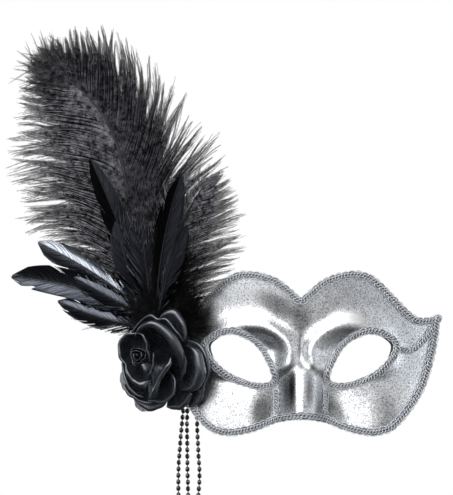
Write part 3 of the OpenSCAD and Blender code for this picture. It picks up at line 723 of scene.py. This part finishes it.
def shaft_piece(body, line, y_of, r0, r1):
    y = np.broadcast_to(y_of(line[:, 0], line[:, 1]), len(line))
    rod = tube(np.stack([line[:, 0], y, line[:, 1]], -1), np.linspace(r0, r1, len(line)), 8)
    Stack().put(*rod).done(f"{body}_quill", body, "feather_shaft", [QUILL], replaces=(f"{body}_shaft",))


# Large plume: share of the shaft, tip x, tip z, heading of the tip
PLUME_LEFT = [(0.10, -138, 56, 195), (0.20, -162, 72, 214), (0.28, -172, 85.5, 205),
              (0.37, -175.5, 101, 190), (0.48, -176.5, 115, 186), (0.57, -178, 128, 186),
              (0.65, -175.5, 141, 181), (0.72, -174, 150, 176), (0.79, -172, 159, 168),
              (0.86, -169.7, 166.5, 161), (0.92, -167, 174, 155), (0.96, -165, 179.5, 150),
              (1.0, -163, 184, 146)]
PLUME_RIGHT = [(0.04, -62, 84, 25), (0.10, -52, 99, 30), (0.16, -47, 111, 32), (0.22, -43, 124, 26),
               (0.28, -50, 138, 38), (0.33, -57, 150, 52), (0.39, -69, 164, 66), (0.45, -79, 172, 78),
               (0.52, -89, 181, 88), (0.58, -98, 188, 95), (0.64, -106.5, 194.5, 98),
               (0.70, -114.4, 202, 94), (0.76, -122, 200.5, 103), (0.82, -130, 201.5, 107),
               (0.88, -138, 200, 110), (0.93, -146, 196.5, 114), (0.96, -151, 193.5, 119),
               (0.98, -157, 190.5, 127), (1.0, -162, 187, 138)]
PLUME_Y = 38.0
plume_line = spline([QUILL_AT, (-96, 60), (-104, 100), (-112.5, 134), (-127, 157), (-150, 176)], 12)
shaft_piece("plume", plume_line, at_depth(PLUME_Y - 1.4), 1.1, 0.3)
for name, keys, side, count, locks, wave, start, back, reach in (
        ("plume_barbs_left", PLUME_LEFT, 1, 290, 38, 1.5, 42, (-1.5, 2.5), (0.86, 1.02)),
        ("plume_under_left", PLUME_LEFT, 1, 240, 23, 1.8, 46, (2.5, 5.5), (0.6, 0.96)),
        ("plume_barbs_right", PLUME_RIGHT, -1, 310, 40, 0.8, 36, (-1.5, 2.5), (0.84, 1.01)),
        ("plume_under_right", PLUME_RIGHT, -1, 270, 26, 1.0, 40, (2.5, 5.5), (0.58, 0.92))):
    vane = Stack()
    soft_barbs(vane, fringe(plume_line, keys, count, locks, at_depth(PLUME_Y), side, wave, start, back, reach,
                            (0.86, 1.04)), 0.33, 3.1, 0.42, 0.3 if "under" in name else 0.22, 0.72)
    vane.done(name, "plume", "ostrich_barbs", [OSTRICH, OSTRICH_TIP, DARK_STEM if "right" in name else STEM],
              replaces=("plume_vane",) if name == "plume_barbs_left" else ())


def tuft(name, body, root, spread_of, count, turn, size, y_of, hair, mats=(DOWN, OSTRICH, OSTRICH)):
    """Short barbs fanned from a small area. turn and size run over the fan as (from, to)."""
    share = np.sort(rng.uniform(0, 1, count))
    at = np.array(root) + rng.normal(0, 1, (count, 2)) * np.array(spread_of)
    angle = np.radians(lerp(*turn, share) + rng.normal(0, 5, count))
    long = lerp(*size, share) * rng.uniform(0.6, 1.05, count)
    q = np.linspace(0, 1, 16)[None, :]
    bend = np.radians(rng.normal(0, 8.0, count))[:, None] * q + angle[:, None]
    step = long[:, None] / 15
    x = at[:, :1] + np.cumsum(np.cos(bend) * step, 1)
    z = at[:, 1:] + np.cumsum(np.sin(bend) * step, 1)
    y = y_of(x, z) + rng.normal(0, 0.8, count)[:, None] * q
    down = Stack()
    soft_barbs(down, np.stack([x, y, z], -1), 0.2, hair, 0.5)
    down.done(name, body, "ostrich_barbs", mats)


# The plume's end curls towards the viewer in a thick dark crown
tuft("plume_crown", "plume", (-147, 173), (5.0, 4.5), 260, (212, 84), (17, 18), at_depth(PLUME_Y - 3.5), 2.2,
     (OSTRICH, OSTRICH_TIP, DARK_STEM))

# Short plume on its turned plane: right of the quill it comes forward
SHORT_Y, SHORT_SLOPE = 30.0, 0.5095
SHORT_RIGHT = [(0.02, -58, 24, -14), (0.08, -52, 33, -4), (0.14, -46, 42, 2), (0.2, -40, 50, 4),
               (0.27, -38, 57, 8), (0.34, -36, 63, 12), (0.42, -31, 69.6, 14), (0.5, -36, 76, 20),
               (0.6, -33.5, 87, 26), (0.7, -36, 95, 30), (0.8, -38, 101, 34), (0.9, -42, 109, 40),
               (1.0, -48, 116, 46)]
SHORT_LEFT = [(0.1, -98, 62, 120), (0.3, -96, 84, 110), (0.5, -90, 100, 100), (0.7, -80, 112, 90),
              (0.85, -66, 118, 72), (1.0, -52, 119, 54)]
short_line = spline([QUILL_AT, (-80.9, 50), (-70.2, 84), (-57.7, 106)], 12)


def short_y(x, z):
    """The turned plane, brought forward where it would meet the mask."""
    plane = SHORT_Y - SHORT_SLOPE * (x - QUILL_AT[0])
    near = face_y(np.clip(x, -83, 83), np.minimum(z, 50)) - 7.5
    inside = ease((58 - z) / 12) * ease((x + 76) / 10)
    return np.where(near < plane, lerp(plane, near, inside), plane)


shaft_piece("short_plume", short_line, lambda x, z: short_y(x, z) - 1.2, 0.8, 0.3)
short = Stack()
for keys, side, count, locks, wave, start, back, reach, *barb in (
        (SHORT_RIGHT, -1, 190, 24, 0.8, 46, (-2.5, 1.5), (0.86, 1.04), 0.22, 2.6, 0.5),
        (SHORT_RIGHT, -1, 160, 16, 0.9, 50, (1.5, 4), (0.6, 0.95), 0.24, 3.0, 0.45),
        (SHORT_LEFT, 1, 90, 12, 1.0, 30, (-1, 3), (0.74, 1.0), 0.2, 2.2, 0.6)):
    soft_barbs(short, fringe(short_line, keys, count, locks, short_y, side, wave, start, back, reach), *barb)
short.done("short_plume_barbs", "short_plume", "ostrich_barbs", [OSTRICH, OSTRICH_PALE, STEM],
           replaces=("short_plume_vane",))

# Glossy hackles: foot, tip, half width, bow, depth, turn about the quill, camber, bluntness,
# width of the side that n points away from, how its other rim curls (its sign says which rim),
# the web, and the web of the side that n points to
HACKLES = {
    "side_feather_1": ((-91, 27), (-159, 71.5), 8.8, -2.5, 33, 0, 0.8, 0.9, 0.82, 1.4, GLOSSY, GLOSSY),
    "side_feather_2": ((-93, 23), (-175.5, 50), 7.8, -6, 34.2, 0, -0.42, 0.9, 1.34, 0, SEMI, SEMI),
    "side_feather_3": ((-92, 19), (-147, 35.5), 7.4, 2, 31.8, 0, 0.6, 0.4, 1, 1.2, SEMI, SEMI),
    "side_feather_4": ((-91, 24), (-137, 50), 7.5, 0, 30.6, 0, 0.7, 0.4, 1, 1.4, SEMI, SEMI),
    # In crest feathers 1 and 3 the web that n points to is painted darker, as shade.
    "crest_feather_1": ((-91, 26), (-127.5, 122.5), 8.5, -2, 29.3, 0, 0.3, 0.1, 1, 0, SATEEN, SHADED_WEB),
    "crest_feather_2": ((-89, 26), (-98, 110), 12, 1, 24.3, 0, 0.25, 0.5, 1, -0.8, SATEEN, SATEEN),
    "crest_feather_3": ((-87, 26), (-69, 113), 10, 3, 23.1, 30, 0.3, 0.2, 1, -1.3, SATEEN, SHADED_WEB),
    "crest_feather_4": ((-86, 24), (-65, 82), 7, 1.5, 21.8, 30, 0.4, 0.3, 1, -1.5, SATEEN, SATEEN),
    "crest_feather_5": ((-90, 24), (-112, 84), 8, 2, 27.3, 0, 0.35, 0.4, 1, -1.2, SATEEN, SATEEN)}


def blade(t, blunt):
    """Share of the half width along the shaft; a blunt blade is broadest near its tip."""
    t = np.clip(t, 0, 1)
    swell = 0.9 * np.sin(np.pi * t ** (0.8 + 0.9 * blunt)).clip(0) ** (0.7 - 0.15 * blunt)
    return (0.1 + 0.22 * (1 - t) ** 3 + swell) * np.sqrt(np.clip((1 - t) / 0.1, 0, 1))


def hackle(name, foot, tip, half, bow, depth, turn, camber, blunt, slim, rolled, web, near_web):
    """A feather with a quill and two webs of joined barbs, which part in places and are loose at the foot."""
    foot, tip = np.array(foot, float), np.array(tip, float)
    d = tip - foot
    size = np.linalg.norm(d)
    n = np.array([-d[1], d[0]]) / size
    c, s = math.cos(math.radians(turn)), math.sin(math.radians(turn))

    def place(t, u, lift=0.0):
        """Share along the shaft and signed share of the half width, to a point."""
        wide = half * blade(t, blunt) * np.where(u < 0, slim, 1)
        flat = foot + d * t[..., None] + n * (bow * np.sin(np.pi * t) + wide * u)[..., None]
        curl = 0.22 * abs(rolled) * wide * np.clip((u * math.copysign(1, rolled) - 0.78) / 0.22, 0, 1) ** 1.5
        y = camber * wide * np.abs(u) ** 1.9 - curl - 1.2 * np.sin(np.pi * np.clip(t, 0, 1)) + lift
        x = flat[..., 0] - QUILL_AT[0]
        return np.stack([QUILL_AT[0] + x * c + y * s, depth - x * s + y * c, flat[..., 1]], -1)

    stack = Stack()
    ts = np.linspace(0, 0.995, 50)
    stack.put(*tube(place(ts, np.zeros(50), -0.25), np.linspace(0.6, 0.14, 50), 6), 1)
    uvs = [np.zeros((stack.n, 2))]
    pitch = 0.6 / size
    m = 10
    q = np.linspace(0, 1, m)[None]
    for sign in (-1, 1):
        roots = np.arange(0.08, 0.985, pitch / 2)
        k = len(roots)
        groups = np.cumsum(rng.uniform(0, 1, k) < 0.018)
        count = groups[-1] + 1
        centre = np.array([roots[groups == g].mean() for g in range(count)])[groups]
        loose = ease((0.36 - roots) / 0.24)[:, None]
        advance = (half * 2.0 / size) * (0.3 + 0.7 * blade(roots, blunt))[:, None]
        squeeze = (centre - roots)[:, None] * 0.2 * q ** 3 * rng.uniform(0.5, 1.2, count)[groups][:, None]
        t = roots[:, None] + advance * q ** 1.25 + squeeze
        over = np.maximum(t - 0.985, 0)
        t = t - over + rng.normal(0, 0.01, (k, 1)) * loose * q
        tear = rng.uniform(0.94, 1.0, count)[groups][:, None]
        u = sign * q * tear * (1 + rng.normal(0, 0.12, (k, 1)) * loose) * (1 - 5 * over)
        ridge = np.where(np.arange(k) % 2 == 0, -0.05, 0.05)[:, None]
        lift = ridge + rng.normal(0, 0.12, count)[groups][:, None] * q ** 2
        lift = lift + rng.normal(0, 0.4, (k, 1)) * loose * q
        v = place(t, u, lift).reshape(-1, 3)
        i, j = np.meshgrid(np.arange(k - 1), np.arange(m - 1), indexing="ij")
        joined = (groups[i] == groups[i + 1]) | (j < 6)
        joined &= ~((loose[i, 0] > 0.25) & (i % 2 == 1) & (j >= 3))
        o = (i * m + j)[joined]
        quad = np.stack([o, o + 1, o + m + 1, o + m], -1)
        stack.put(v, [quad if sign > 0 else quad[:, ::-1]], 2 if sign > 0 else 0)
        uvs.append(np.stack([np.repeat(roots * size + 50 * sign, m), np.tile(q[0] * half, k)], -1))
    body = "side_feathers" if name.startswith("side") else "crest_feathers"
    quill = QUILL if body == "side_feathers" else DARK_QUILL
    stack.done(f"{name}_web", body, "glossy_feather", [web, quill, near_web], replaces=(name,),
               uv=np.concatenate(uvs))


for name, row in HACKLES.items():
    hackle(name, *row)

# Soft black down round the quills, over the rose and over the top of the right wing
tuft("hackle_down", "crest_feathers", (-89, 24), (6, 3), 260, (165, 15), (12, 20),
     lambda x, z: 20.5 - 0.12 * (x + 88), 3.0)
tuft("quill_down", "side_feathers", (-95, 27), (5, 5), 240, (200, 118), (14, 22), at_depth(35.6), 2.6)
tuft("side_down", "side_feathers", (-107, 30.5), (8, 3.5), 220, (186, 152), (13, 18), at_depth(36.4), 2.6)
tuft("wing_down", "short_plume", (-77.5, 24), (4.2, 5), 420, (75, -38), (20, 12.5),
     lambda x, z: short_y(x, z) - 2.2, 3.2)
tuft("blade_down", "crest_feathers", (-84, 40), (5, 9), 240, (100, 20), (20, 30),
     lambda x, z: np.minimum(23.0 - 0.35 * (x + 88), short_y(x, z) - 4.0), 3.2)
tuft("crest_down", "crest_feathers", (-96, 88), (5, 9), 200, (112, 72), (16, 16), at_depth(22.8), 2.0,
     (OSTRICH, OSTRICH, DARK_STEM))


# ---- rose
ROSE_AT = np.array([-80.0, 17.0, 0.0])
ROSE_TURN = math.radians(25)
ROSE_SIDE = np.array([math.cos(ROSE_TURN), -math.sin(ROSE_TURN), 0.0])
ROSE_OUT = np.array([-math.sin(ROSE_TURN), -math.cos(ROSE_TURN), 0.0])
UP = np.array([0.0, 0.0, 1.0])


def rose_point(x, z, h):
    """The point seen at x and z from straight ahead that stands h above the rose's backing."""
    x, z, h = (np.asarray(q, float) for q in (x, z, h))
    a = (x - ROSE_AT[0] - ROSE_OUT[0] * h) / ROSE_SIDE[0]
    return ROSE_AT + a[..., None] * ROSE_SIDE + h[..., None] * ROSE_OUT + z[..., None] * UP


PINCH = (0.2, 0.2, 0.1)  # how much of its rim's x, z and height a petal keeps at its foot
CREASE = 0.3
SATIN_T, SHEER_T = 0.35, 0.2


def petal(node, rim, foot, roll, curl, cup):
    """A cloth petal lofted from its foot to its rim, with the rim rolled outwards.

    rim holds x, z and height of the points where the roll begins. cup is 1 where it stands up, 0 where it is
    open. The sheer petals are thinner and have no fused rim with its painted highlight."""
    sheer = node.startswith("sheer")
    nu, nv, nr = 40, 22, 14
    top = evenly(spline(np.array(rim, float), 12), nu + 1, True)
    low = np.array(foot, float) + (top - top.mean(0)) * PINCH
    low3, top3 = rose_point(*low.T), rose_point(*top.T)
    way = top3 - low3
    tall = (way @ ROSE_OUT)[:, None]
    flat = way - tall * ROSE_OUT
    v = np.linspace(0, 1, nv)[:, None, None]
    f_flat = lerp(v, np.sin(np.pi / 2 * v) ** 0.85, cup)
    f_tall = lerp(np.sin(np.pi / 2 * v), v ** 1.7, cup)
    p = low3 + flat * f_flat + tall * ROSE_OUT * f_tall
    u = np.linspace(-1, 1, nu + 1)
    outward = unit(flat)
    seed = rng.uniform(0, 6.28, 4)
    ripple = CREASE * (np.sin(5 * u + seed[0]) + 0.6 * np.sin(11 * u + seed[1]))
    p = p + (ripple * np.sin(np.pi / 2 * v[..., 0]) ** 2)[..., None] * outward
    t = unit(p[-1] - p[-2])
    beta = np.arctan2((t * outward).sum(1), (t * ROSE_OUT).sum(1))[:, None]
    turn_out = np.cos(beta) * outward - np.sin(beta) * ROSE_OUT
    fade = np.clip(1.15 - np.abs(u) ** 3, 0.25, 1)[:, None]
    phi = np.radians(curl) * np.linspace(0, 1, nr + 1)[1:, None, None]
    radius = roll * fade * (1 + 0.12 * np.sin(4 * u + seed[2]))[:, None]
    rolled = p[-1] + turn_out * radius * (1 - np.cos(phi)) + t * radius * np.sin(phi)
    allp = np.concatenate([p, rolled])
    faces = grid_faces(nu + 1, len(allp))
    # The roll's last row of faces takes the fused rim: glossy, and lighter as a painted highlight.
    on_rim = np.arange(len(faces)) // nu >= len(allp) - 2
    stuff, slot, mats = ("organza", "sheer_organza", (ORGANZA, ORGANZA)) if sheer else (
        "satin", "black_satin", (SATIN, RIM))
    o = make(f"{node}_{stuff}", "mask", slot, allp.reshape(-1, 3), [faces], mats, (node,), index=on_rim)
    o.modifiers.new("thick", "SOLIDIFY").thickness = (SHEER_T if sheer else SATIN_T) * MM
    flat_w = arc(top3)[-1] + 2
    flat_l = float(np.mean(np.linalg.norm(np.diff(allp, axis=0), axis=2).sum(0)))
    across, down = allp[1:, :-1] - allp[:-1, :-1], allp[:-1, 1:] - allp[:-1, :-1]
    area = float(np.linalg.norm(np.cross(across, down), axis=2).sum())
    area = min(max(area / 1.02, 0.31 * flat_w * flat_l), flat_w * flat_l)


PETALS = [
    # node, rim, foot, roll radius, curl in degrees, cup
    ("inner_petal_1", [(-98, 16.6, 23), (-95.6, 14.2, 23), (-93.2, 9, 22.6), (-92.2, 3.8, 22),
     (-91.4, -1.5, 21)], (-96, 3, 8), 0.7, 150, 1.0),
    ("inner_petal_2", [(-88.9, 4.5, 20.5), (-89.2, -2, 20.5), (-90.6, -6.7, 20), (-92.6, -11, 19)],
     (-95, 1, 7), 0.6, 140, 1.0),
    ("inner_petal_3", [(-105, -1.5, 20), (-103.3, -6, 20.5), (-100.4, -10.2, 20.5), (-96.7, -12.7, 20),
     (-92, -12.4, 19)], (-97, 1.5, 6), 2.3, 175, 1.0),
    ("middle_petal_1", [(-99.2, 13.6, 20), (-97, 17.2, 20.5), (-91.8, 19.2, 20), (-86.8, 18, 19),
     (-82.2, 14.4, 17.5), (-78.6, 8.6, 16), (-74.8, 1.6, 14), (-72.4, -4.6, 12)], (-90, 3, 4), 2.9, 190,
     1.0),
    ("middle_petal_2", [(-98.4, 16, 15), (-103.6, 14.4, 15.5), (-107.6, 11.2, 16), (-108.6, 7, 16.5),
     (-107.6, 2, 17), (-105, -2.6, 17)], (-98, 4, 4), 0.8, 140, 0.9),
    ("middle_petal_3", [(-78.6, 1.6, 15), (-81.8, -3.6, 16), (-85.6, -9.6, 16.5), (-88.2, -15.6, 16),
     (-90.4, -21.6, 14)], (-88, 2, 3), 1.8, 175, 0.95),
    ("middle_petal_4", [(-107, -1.5, 10), (-105.9, -7.6, 11), (-103.8, -13.4, 12), (-100.4, -18.8, 12),
     (-94.8, -22.4, 11)], (-95, -1, 2), 0.9, 130, 0.9),
    ("outer_petal_1", [(-77.2, 11, 12), (-72.6, 7.6, 12), (-70.4, 1.4, 12), (-70, -5.3, 11.5),
     (-72.2, -12.2, 10)], (-84, 2, 2), 0.8, 130, 0.95),
    ("outer_petal_2", [(-91.6, -24.4, 9), (-85.4, -24.6, 10.5), (-80, -22.8, 11), (-76.2, -18, 11),
     (-76, -12.2, 10.5), (-77.6, -8.4, 10)], (-86, -4, 2), 0.7, 120, 0.85),
    ("outer_petal_3", [(-69.6, 8.6, 8), (-66, 5.8, 9), (-64.6, -0.3, 9.5), (-64.4, -6.7, 9.5),
     (-65.6, -12.8, 9), (-68, -16.2, 8.5), (-72.4, -17.6, 8)], (-80, -1, 1.2), 3.3, 175, 0.8),
    ("outer_petal_4", [(-106, -15, 6), (-103.6, -19.4, 7), (-99.4, -22.8, 7.5), (-94.6, -24.6, 7.5),
     (-89.6, -25.6, 7)], (-93, -4, 1), 0.8, 120, 0.75),
    ("outer_petal_5", [(-103.4, 11.6, 8), (-100.4, 17.4, 9), (-96, 22.8, 9.5), (-90.6, 25.4, 9.5),
     (-86.3, 23.2, 9.2), (-82, 23.4, 9), (-77.8, 19.5, 8.6), (-73.6, 15.2, 8), (-70.4, 10.4, 7)],
     (-88, 3, 1.5), 0.9, 140, 0.8),
    ("guard_petal_1", [(-69, 12, 2.5), (-63.4, 10.2, 3), (-60, 6.8, 3.4), (-57.6, 1.6, 3.6),
     (-57, -6.3, 3.4), (-59.2, -13.2, 3), (-60, -19, 2.6), (-61.4, -25, 2), (-67, -28.6, 1.4)],
     (-78, -2, 0.4), 1.5, 140, 0.35),
    ("guard_petal_2", [(-86.2, 22.4, 5), (-83.2, 26, 5), (-78.6, 27.4, 4.6), (-74.8, 25.6, 4),
     (-72, 20.6, 3.6), (-70.8, 14.6, 3.4), (-71.4, 9.4, 3)], (-82, 4, 0.6), 2.6, 190, 0.45),
    ("guard_petal_3", [(-80.6, -28, 5), (-73.8, -27.4, 6), (-69.4, -24.2, 6.6), (-66, -19.6, 6.6)],
     (-77, -6, 0.8), 1.5, 150, 0.55),
    ("guard_petal_4", [(-101.2, -21.4, 2.6), (-97.4, -26, 3), (-91.6, -28.8, 3.2), (-83.4, -27, 3.4),
     (-80.4, -24.6, 3.4)], (-88, -5, 0.4), 1.2, 130, 0.45),
    ("sheer_petal_1", [(-105.4, -5, 1.2), (-108.6, -10.2, 1.4), (-107.6, -15.8, 1.2), (-103.6, -19.8, 0.8)],
     (-93, -4, 0.2), 0.4, 90, 0.2),
    ("sheer_petal_2", [(-100.8, -23, 0.9), (-98.8, -28, 1.2), (-94, -31, 1.2), (-88.4, -29.8, 0.8)],
     (-88, -6, 0.2), 0.4, 90, 0.2)]
for row in PETALS:
    petal(*row)


BUD_X, BUD_Z = -9.2, 2.4  # the bud's middle from the rose's


def bud():
    """The heart of the rose: one band of satin wound on itself."""
    nu, nv = 150, 14
    a = np.linspace(0, 2 * np.pi * 2.7, nu)
    q = a / a[-1]
    r = lerp(0.8, 5.5, q ** 0.85) * (1 + 0.11 * np.sin(3 * a + 0.5) + 0.04 * np.sin(7.3 * a))
    top = lerp(25.5, 21.5, q) + 0.5 * np.sin(2.3 * a)
    v = np.linspace(0, 1, nv)[:, None]
    spread = 0.62 + 0.38 * np.sin(np.pi / 2 * v) + 0.07 * np.clip(v - 0.85, 0, 1) / 0.15
    local_x, local_z = r * spread * np.cos(a), r * spread * np.sin(a)
    h = lerp(4.0, top, v)
    p = (ROSE_AT + (BUD_X + local_x)[..., None] * ROSE_SIDE + h[..., None] * ROSE_OUT
         + (BUD_Z + local_z)[..., None] * UP)
    faces = grid_faces(nu, nv)
    on_rim = np.arange(len(faces)) // (nu - 1) >= nv - 1
    o = make("rose_bud_satin", "mask", "black_satin", p.reshape(-1, 3), [faces], [SATIN, RIM], ("rose_bud",),
             index=on_rim)
    o.modifiers.new("thick", "SOLIDIFY").thickness = 0.3 * MM


bud()


# ---- felt, tabs and eyelets
# Radius and height of the felt's profile, as shares
FELT_EDGE = [(0, 0), (0.5, 0), (0.86, 0.0), (0.96, 0.08), (1.0, 0.3), (1.0, 0.7), (0.96, 0.92), (0.86, 1.0),
             (0.5, 1), (0, 1)]


def felt_disc(name, node, centre, axis, radius, thick, more=()):
    """A felt disc with softened edges and a slightly uneven rim."""
    axis = unit(np.asarray(axis, float))
    side = unit(np.cross(axis, UP))
    up = np.cross(side, axis)
    n = 72
    a = 2 * np.pi * np.arange(n) / n
    wob = 1 + 0.012 * np.sin(7 * a) + 0.008 * np.sin(17 * a + 1)
    v = np.array([centre + axis * h * thick + (side * math.cos(q) + up * math.sin(q)) * r * radius * w
                  for r, h in FELT_EDGE for q, w in zip(a, wob)])
    stack = Stack().put(v, [grid_faces(n, len(FELT_EDGE), True)])
    for part in more:
        stack.put(*part)
    return stack.done(name, "mask", "black_felt", [FELT], replaces=(node,), weld=True)


neck = np.array([ROSE_AT - ROSE_OUT * h for h in (2.0, 4.5, 6.9)])
rose_felt = felt_disc("rose_felt", "rose_backing", ROSE_AT, -ROSE_OUT, 15, 2.5, [tube(neck, 5.0, 32, up=UP)])
feather_felt = felt_disc("feather_felt", "feather_pad", np.array([-90, 41, 7.0]), (0, -1, 0), 6.5, 14)
PATCH_AT = (-68.3, -21.0)
patch_front = face(*PATCH_AT, -SHELL_T - LINING_T - 1.0)
patch_n = face(*PATCH_AT, 1.0) - face(*PATCH_AT, 0.0)
bars = []
for sx, sy, _ in STRANDS:
    off = (sx - patch_front[0]) * patch_n[0] + (STRAND_Z - patch_front[2]) * patch_n[2]
    y0 = patch_front[1] - off / patch_n[1] + 0.5
    bars.append(tube([(sx, y, STRAND_Z) for y in (y0, (y0 + sy) / 2, sy + 1.4)], 0.5, 10, up=UP))
strand_felt = felt_disc("strand_felt", "strand_patch", patch_front, -patch_n, 6.5, 1, bars)

TAB_X, TAB_Z, TAB_H, TAB_LONG, TAB_T = 74.0, 2.0, 12.0, 14.0, 1.0
tab_y = float(face_y(TAB_X, TAB_Z)) + 4.6
EYELET_R = 2.45
HOLE_IN = 5.5            # from the eyelet's middle to the tab's free end


def tie_tab(label, sign):
    """A folded satin tab with a punched hole, rounded at its free end."""
    n = 64
    hole_y, rings = tab_y + TAB_LONG - HOLE_IN, 7
    a = 2 * np.pi * (np.arange(n) + 0.5) / n
    dy, dz = np.cos(a), np.sin(a)
    reach_y = np.abs(dy) / np.where(dy > 0, HOLE_IN, TAB_LONG - HOLE_IN)
    reach_z = np.abs(dz) / (TAB_H / 2)
    outer = np.where(dy > 0, 1 / (reach_y ** 6 + reach_z ** 6) ** (1 / 6), 1 / np.maximum(reach_y, reach_z))
    v = []
    for x, order in ((TAB_T / 2, range(rings)), (-TAB_T / 2, range(rings - 1, -1, -1))):
        for i in order:
            rad = lerp(EYELET_R, outer, i / (rings - 1))
            hem = 0.12 if i == rings - 2 else 0.0
            v.append(np.stack([np.full(n, sign * TAB_X + x + math.copysign(hem, x)), hole_y + rad * dy,
                               TAB_Z + rad * dz], -1))
    v = np.concatenate(v + [v[0]])
    tab = Stack().put(v, [grid_faces(n, 2 * rings + 1, True)]).done(
        f"satin_tab_{label}", "mask", "black_satin", [SATIN], replaces=(f"tie_tab_{label}",), weld=True)
    NODES[f"tie_eyelet_{label}"].data.materials.clear()
    NODES[f"tie_eyelet_{label}"].data.materials.append(NICKEL)


for label, sign in (("left", 1), ("right", -1)):
    tie_tab(label, sign)


# ---- stage and light
FLOOR_X, FLOOR_Z, FLOOR_R = -0.045, -0.136, 2.6
floor_mat, nt, p = material("pale_floor", (0.86, 0.86, 0.86), 0.7)
drive(nt, p, "Base Color", noise(nt, coords(nt), 30.0), [(0.3, 0.85), (0.7, 0.88)])
floor_mesh = bpy.data.meshes.new("floor")
around = 2 * np.pi * np.arange(96) / 96
floor_rim = [(FLOOR_X + FLOOR_R * math.cos(q), FLOOR_R * math.sin(q), FLOOR_Z) for q in around]
floor_mesh.from_pydata(floor_rim, [], [range(96)])
floor_mesh.materials.append(floor_mat)
floor = in_scene("floor", floor_mesh)
floor.visible_glossy = False
AIM = Vector((-0.03, 0.0, 0.03))


def softbox(name, at, size, power, colour=(1, 1, 1)):
    """An area light that shines on the mask and is not seen itself."""
    data = bpy.data.lights.new(name, "AREA")
    data.shape = "RECTANGLE"
    data.size, data.size_y = size
    data.energy = power
    data.color = colour
    o = in_scene(name, data)
    o.location = at
    o.rotation_euler = (AIM - Vector(at)).to_track_quat("-Z", "Y").to_euler()
    o.visible_camera = False


softbox("key", (-0.5, -1.2, 1.02), (1.8, 1.5), 26.5)
softbox("side_right", (1.7, 0.7, 0.3), (1.2, 1.0), 7, (0.93, 0.97, 1.0))
softbox("side_left", (-1.7, 0.6, 0.3), (1.2, 1.0), 7, (0.93, 0.97, 1.0))
softbox("back", (0.0, 1.8, 1.0), (1.4, 1.0), 8)

world = bpy.data.worlds.new("studio")
bpy.context.scene.world = world
world.use_nodes = True
nt = world.node_tree
nt.nodes.clear()
axes = add(nt, "ShaderNodeSeparateXYZ")
nt.links.new(add(nt, "ShaderNodeTexCoord").outputs["Generated"], axes.inputs[0])


def span(axis, stops):
    """A ramp over one axis of the sky, from 0 at its low end to 1 at its high end."""
    share = add(nt, "ShaderNodeMath", operation="MULTIPLY_ADD")
    share.inputs[1].default_value, share.inputs[2].default_value = 0.5, 0.5
    nt.links.new(axes.outputs[axis], share.inputs[0])
    return ramp(nt, share.outputs[0], stops)


walls = span("Z", [(0.2, 0.05), (0.5, (0.1, 0.1, 0.105))])
# What the foil mirrors: each panel's stops over Z and over X
for rise, run in (
        ([(0.33, 0.0), (0.42, 1.0), (0.6, 1.0), (0.7, 0.0)],
         [(0.2, (0.36, 0.38, 0.4)), (0.36, 0.1), (0.5, 0.0), (0.62, 0.1), (0.76, (0.42, 0.44, 0.46))]),
        ([(0.36, 0.0), (0.46, 1.0), (0.7, 1.0), (0.8, 0.0)], [(0.9, 0.0), (0.96, (0.2, 0.22, 0.25))]),
        ([(0.58, 0.0), (0.68, 1.0), (0.9, 1.0), (1.0, 0.3)], [(0.62, 0.0), (0.78, 0.52)]),
        ([(0.1, 0.2), (0.22, 1.0), (0.36, 1.0), (0.44, 0.0)], [(0.66, 0.0), (0.84, 0.32)])):
    walls = times(nt, walls, times(nt, span("Z", rise), span("X", run)), "ADD")
seen = add(nt, "ShaderNodeBackground", Color=(1, 1, 1, 1), Strength=1.0)
lit = add(nt, "ShaderNodeBackground", Strength=1.0)
mix = add(nt, "ShaderNodeMixShader")
nt.links.new(walls, lit.inputs["Color"])
nt.links.new(add(nt, "ShaderNodeLightPath").outputs["Is Camera Ray"], mix.inputs["Fac"])
nt.links.new(lit.outputs["Background"], mix.inputs[1])
nt.links.new(seen.outputs["Background"], mix.inputs[2])
nt.links.new(mix.outputs["Shader"], add(nt, "ShaderNodeOutputWorld").inputs["Surface"])
bpy.context.scene.view_settings.view_transform = "Standard"
